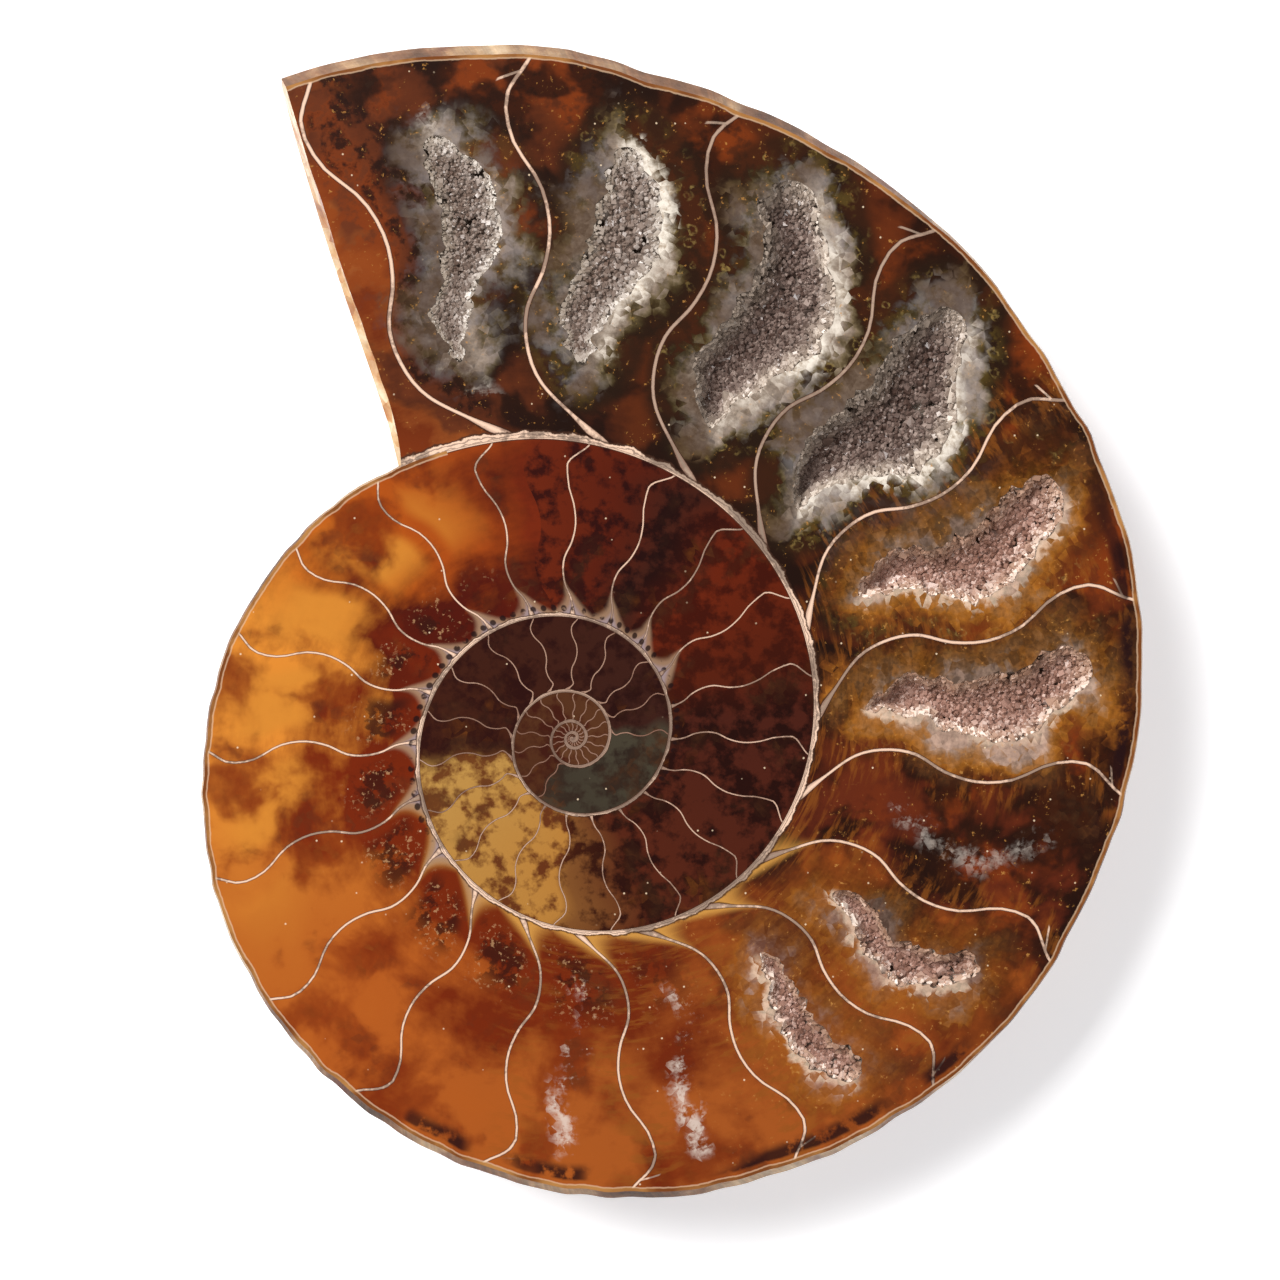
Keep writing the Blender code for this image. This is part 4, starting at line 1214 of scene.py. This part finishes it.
class AMMONITE_OT_half(bpy.types.Operator):
    """Model the sawn half: shell, septa and filling in one stone, with its hollows cut"""

    bl_idname = "ammonite.half"
    bl_label = "Sawn half"

    def execute(self, context):
        scene = context.scene
        materials = [polished_section(scene.ammonite_colours)]
        materials += [maker() for maker in (natural_shell, broken_calcite, hollow_pocket)]
        columns = round(-INNERMOST_FACE_TURN * COLUMNS_PER_TURN)
        face_coil = np.linspace(INNERMOST_FACE_TURN, 0.0, columns + 1)
        coil = face_coil[INNERMOST_TURN * COLUMNS_PER_TURN - 1 :]
        last = coil[-COLUMNS_PER_TURN - 1 :]
        wall = np.linspace(0.0, WALL_TOP, WALL_ROWS + 1)
        inner = np.concatenate((wall, np.linspace(WALL_TOP, SEAM, SHOULDER_ROWS + 1)[1:]))
        flank = np.linspace(SEAM, VENTER, FLANK_ROWS + 1)
        outer = np.concatenate((flank, np.linspace(VENTER, FACE, EDGE_ROWS + 1)[1:]))
        share = np.linspace(0.0, 1.0, FACE_ROWS + 1)
        sheets = [
            sheet(face_side(face_coil[None, :], share[:, None]), materials, 0),
            sheet(natural_side(coil[None, :], inner[:, None]), materials, 1),
            sheet(natural_side(last[None, :], outer[:, None]), materials, 1),
            sheet(broken_end(np.concatenate((inner, outer[1:]))), materials, 2),
        ]
        piece = join(sheets, "sawn_ammonite_half")
        close_centres(piece)
        turn_outwards(piece)
        cutter = hollow_cutter(materials, 3)
        cut = piece.modifiers.new("hollows", "BOOLEAN")
        cut.operation = "DIFFERENCE"
        cut.solver = "MANIFOLD"
        cut.object = cutter
        deselect()
        context.view_layer.objects.active = piece
        piece.select_set(True)
        bpy.ops.object.modifier_apply(modifier=cut.name)
        bpy.data.objects.remove(cutter, do_unlink=True)
        bpy.ops.object.shade_smooth_by_angle(angle=SMOOTH_ANGLE)
        lay_maps(piece, scene.ammonite_sizes)
        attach(piece, "root")
        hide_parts("ammonite_half")
        return {"FINISHED"}


class AMMONITE_OT_druses(bpy.types.Operator):
    """Grow the crystals that line each hollow"""

    bl_idname = "ammonite.druses"
    bl_label = "Crystals in the hollows"

    def execute(self, context):
        scene = context.scene
        shape = dogtooth_crystal()
        materials = [calcite_druse(*tones) for tones in DRUSE_TONES]
        for number, (tones, size, rise) in enumerate(DRUSES):
            grow_druse(number, shape, scene.ammonite_sizes, materials[tones], size, rise)
        return {"FINISHED"}


# The camera looks straight down, with a long lens
CAMERA_PLACE = (-2.63 * MM, -1.55 * MM, 0.4145)
CAMERA_LENS = 130.0
SENSOR_WIDTH = 36.0
LIGHTS = (
    # name, place, watts, width, height
    ("window", (-0.46, 0.36, 0.75), 12.5, 0.45, 0.45),
    ("reflector", (0.60, -0.35, 0.70), 2.6, 0.6, 0.6),
)
# The sky is dimmer overhead, so that the polished face doesn't mirror it
SKY_STRENGTH = 0.45
ZENITH_STRENGTH = 0.06

# The card glows a little, which lifts the shadow, as light from all round does in a photo tent
CARD_SIZE = 4.0
CARD_GLOW = 0.32
CARD_GLOW_COLOUR = linear("#F8F8FF")


class AMMONITE_OT_stage(bpy.types.Operator):
    """Set the pale floor, the soft lights and the camera that looks straight down"""

    bl_idname = "ammonite.stage"
    bl_label = "Floor, lights and camera"

    def execute(self, context):
        scene = context.scene
        deselect()
        bpy.ops.mesh.primitive_plane_add(size=CARD_SIZE)
        floor = bpy.context.object
        floor.name = "floor"
        # Matt white card, evenly pale, so that only the fossil's soft shadow shows on it
        material, tree, shader = new_material("white_card")
        settings = {
            "Base Color": (*scene.ammonite_colours.floor, 1.0),
            "Roughness": 0.9,
            "Emission Color": CARD_GLOW_COLOUR,
            "Emission Strength": CARD_GLOW,
        }
        finish(tree, shader, settings)
        floor.data.materials.append(material)
        for name, place, watts, width, height in LIGHTS:
            bpy.ops.object.light_add(type="AREA", location=place)
            lamp = bpy.context.object
            lamp.name = name
            lamp.data.shape = "RECTANGLE"
            lamp.data.size = width
            lamp.data.size_y = height
            lamp.data.energy = watts
            lamp.rotation_euler = (-Vector(place)).to_track_quat("-Z", "Y").to_euler()
        world = bpy.data.worlds.new("studio")
        world.use_nodes = True
        tree = world.node_tree
        way = node(tree, "SeparateXYZ", {0: node(tree, "TexCoord").outputs["Generated"]}).outputs["Z"]
        ends = {"From Min": 0.72, "From Max": 0.95, "To Min": SKY_STRENGTH, "To Max": ZENITH_STRENGTH}
        sky = node(tree, "MapRange", {"Value": way, **ends})
        finish(tree, tree.nodes["Background"], {"Color": linear("#FFFFFF"), "Strength": sky})
        scene.world = world
        bpy.ops.object.camera_add(location=CAMERA_PLACE, rotation=(0.0, 0.0, 0.0))
        camera = bpy.context.object
        camera.data.lens = CAMERA_LENS
        camera.data.sensor_width = SENSOR_WIDTH
        camera.data.clip_start = 0.01
        scene.camera = camera
        scene.view_settings.view_transform = "Standard"
        return {"FINISHED"}


class AMMONITE_PT_panel(bpy.types.Panel):
    """Sizes, colours and steps of the ammonite"""

    bl_idname = "AMMONITE_PT_panel"
    bl_label = "Ammonite"
    bl_space_type = "VIEW_3D"
    bl_region_type = "UI"
    bl_category = "Ammonite"

    def draw(self, context):
        layout = self.layout
        for group in (context.scene.ammonite_sizes, context.scene.ammonite_colours):
            for name in group.__annotations__:
                layout.prop(group, name)
        for operator in (AMMONITE_OT_half, AMMONITE_OT_druses, AMMONITE_OT_stage):
            layout.operator(operator.bl_idname)


CLASSES = (
    AmmoniteSizes,
    AmmoniteColours,
    AMMONITE_OT_half,
    AMMONITE_OT_druses,
    AMMONITE_OT_stage,
    AMMONITE_PT_panel,
)


def register():
    for item in CLASSES:
        bpy.utils.register_class(item)
    bpy.types.Scene.ammonite_sizes = PointerProperty(type=AmmoniteSizes)
    bpy.types.Scene.ammonite_colours = PointerProperty(type=AmmoniteColours)


def unregister():
    del bpy.types.Scene.ammonite_colours
    del bpy.types.Scene.ammonite_sizes
    for item in reversed(CLASSES):
        bpy.utils.unregister_class(item)


def main():
    register()
    bpy.ops.ammonite.half()
    bpy.ops.ammonite.druses()
    bpy.ops.ammonite.stage()


if __name__ == "__main__":
    main()
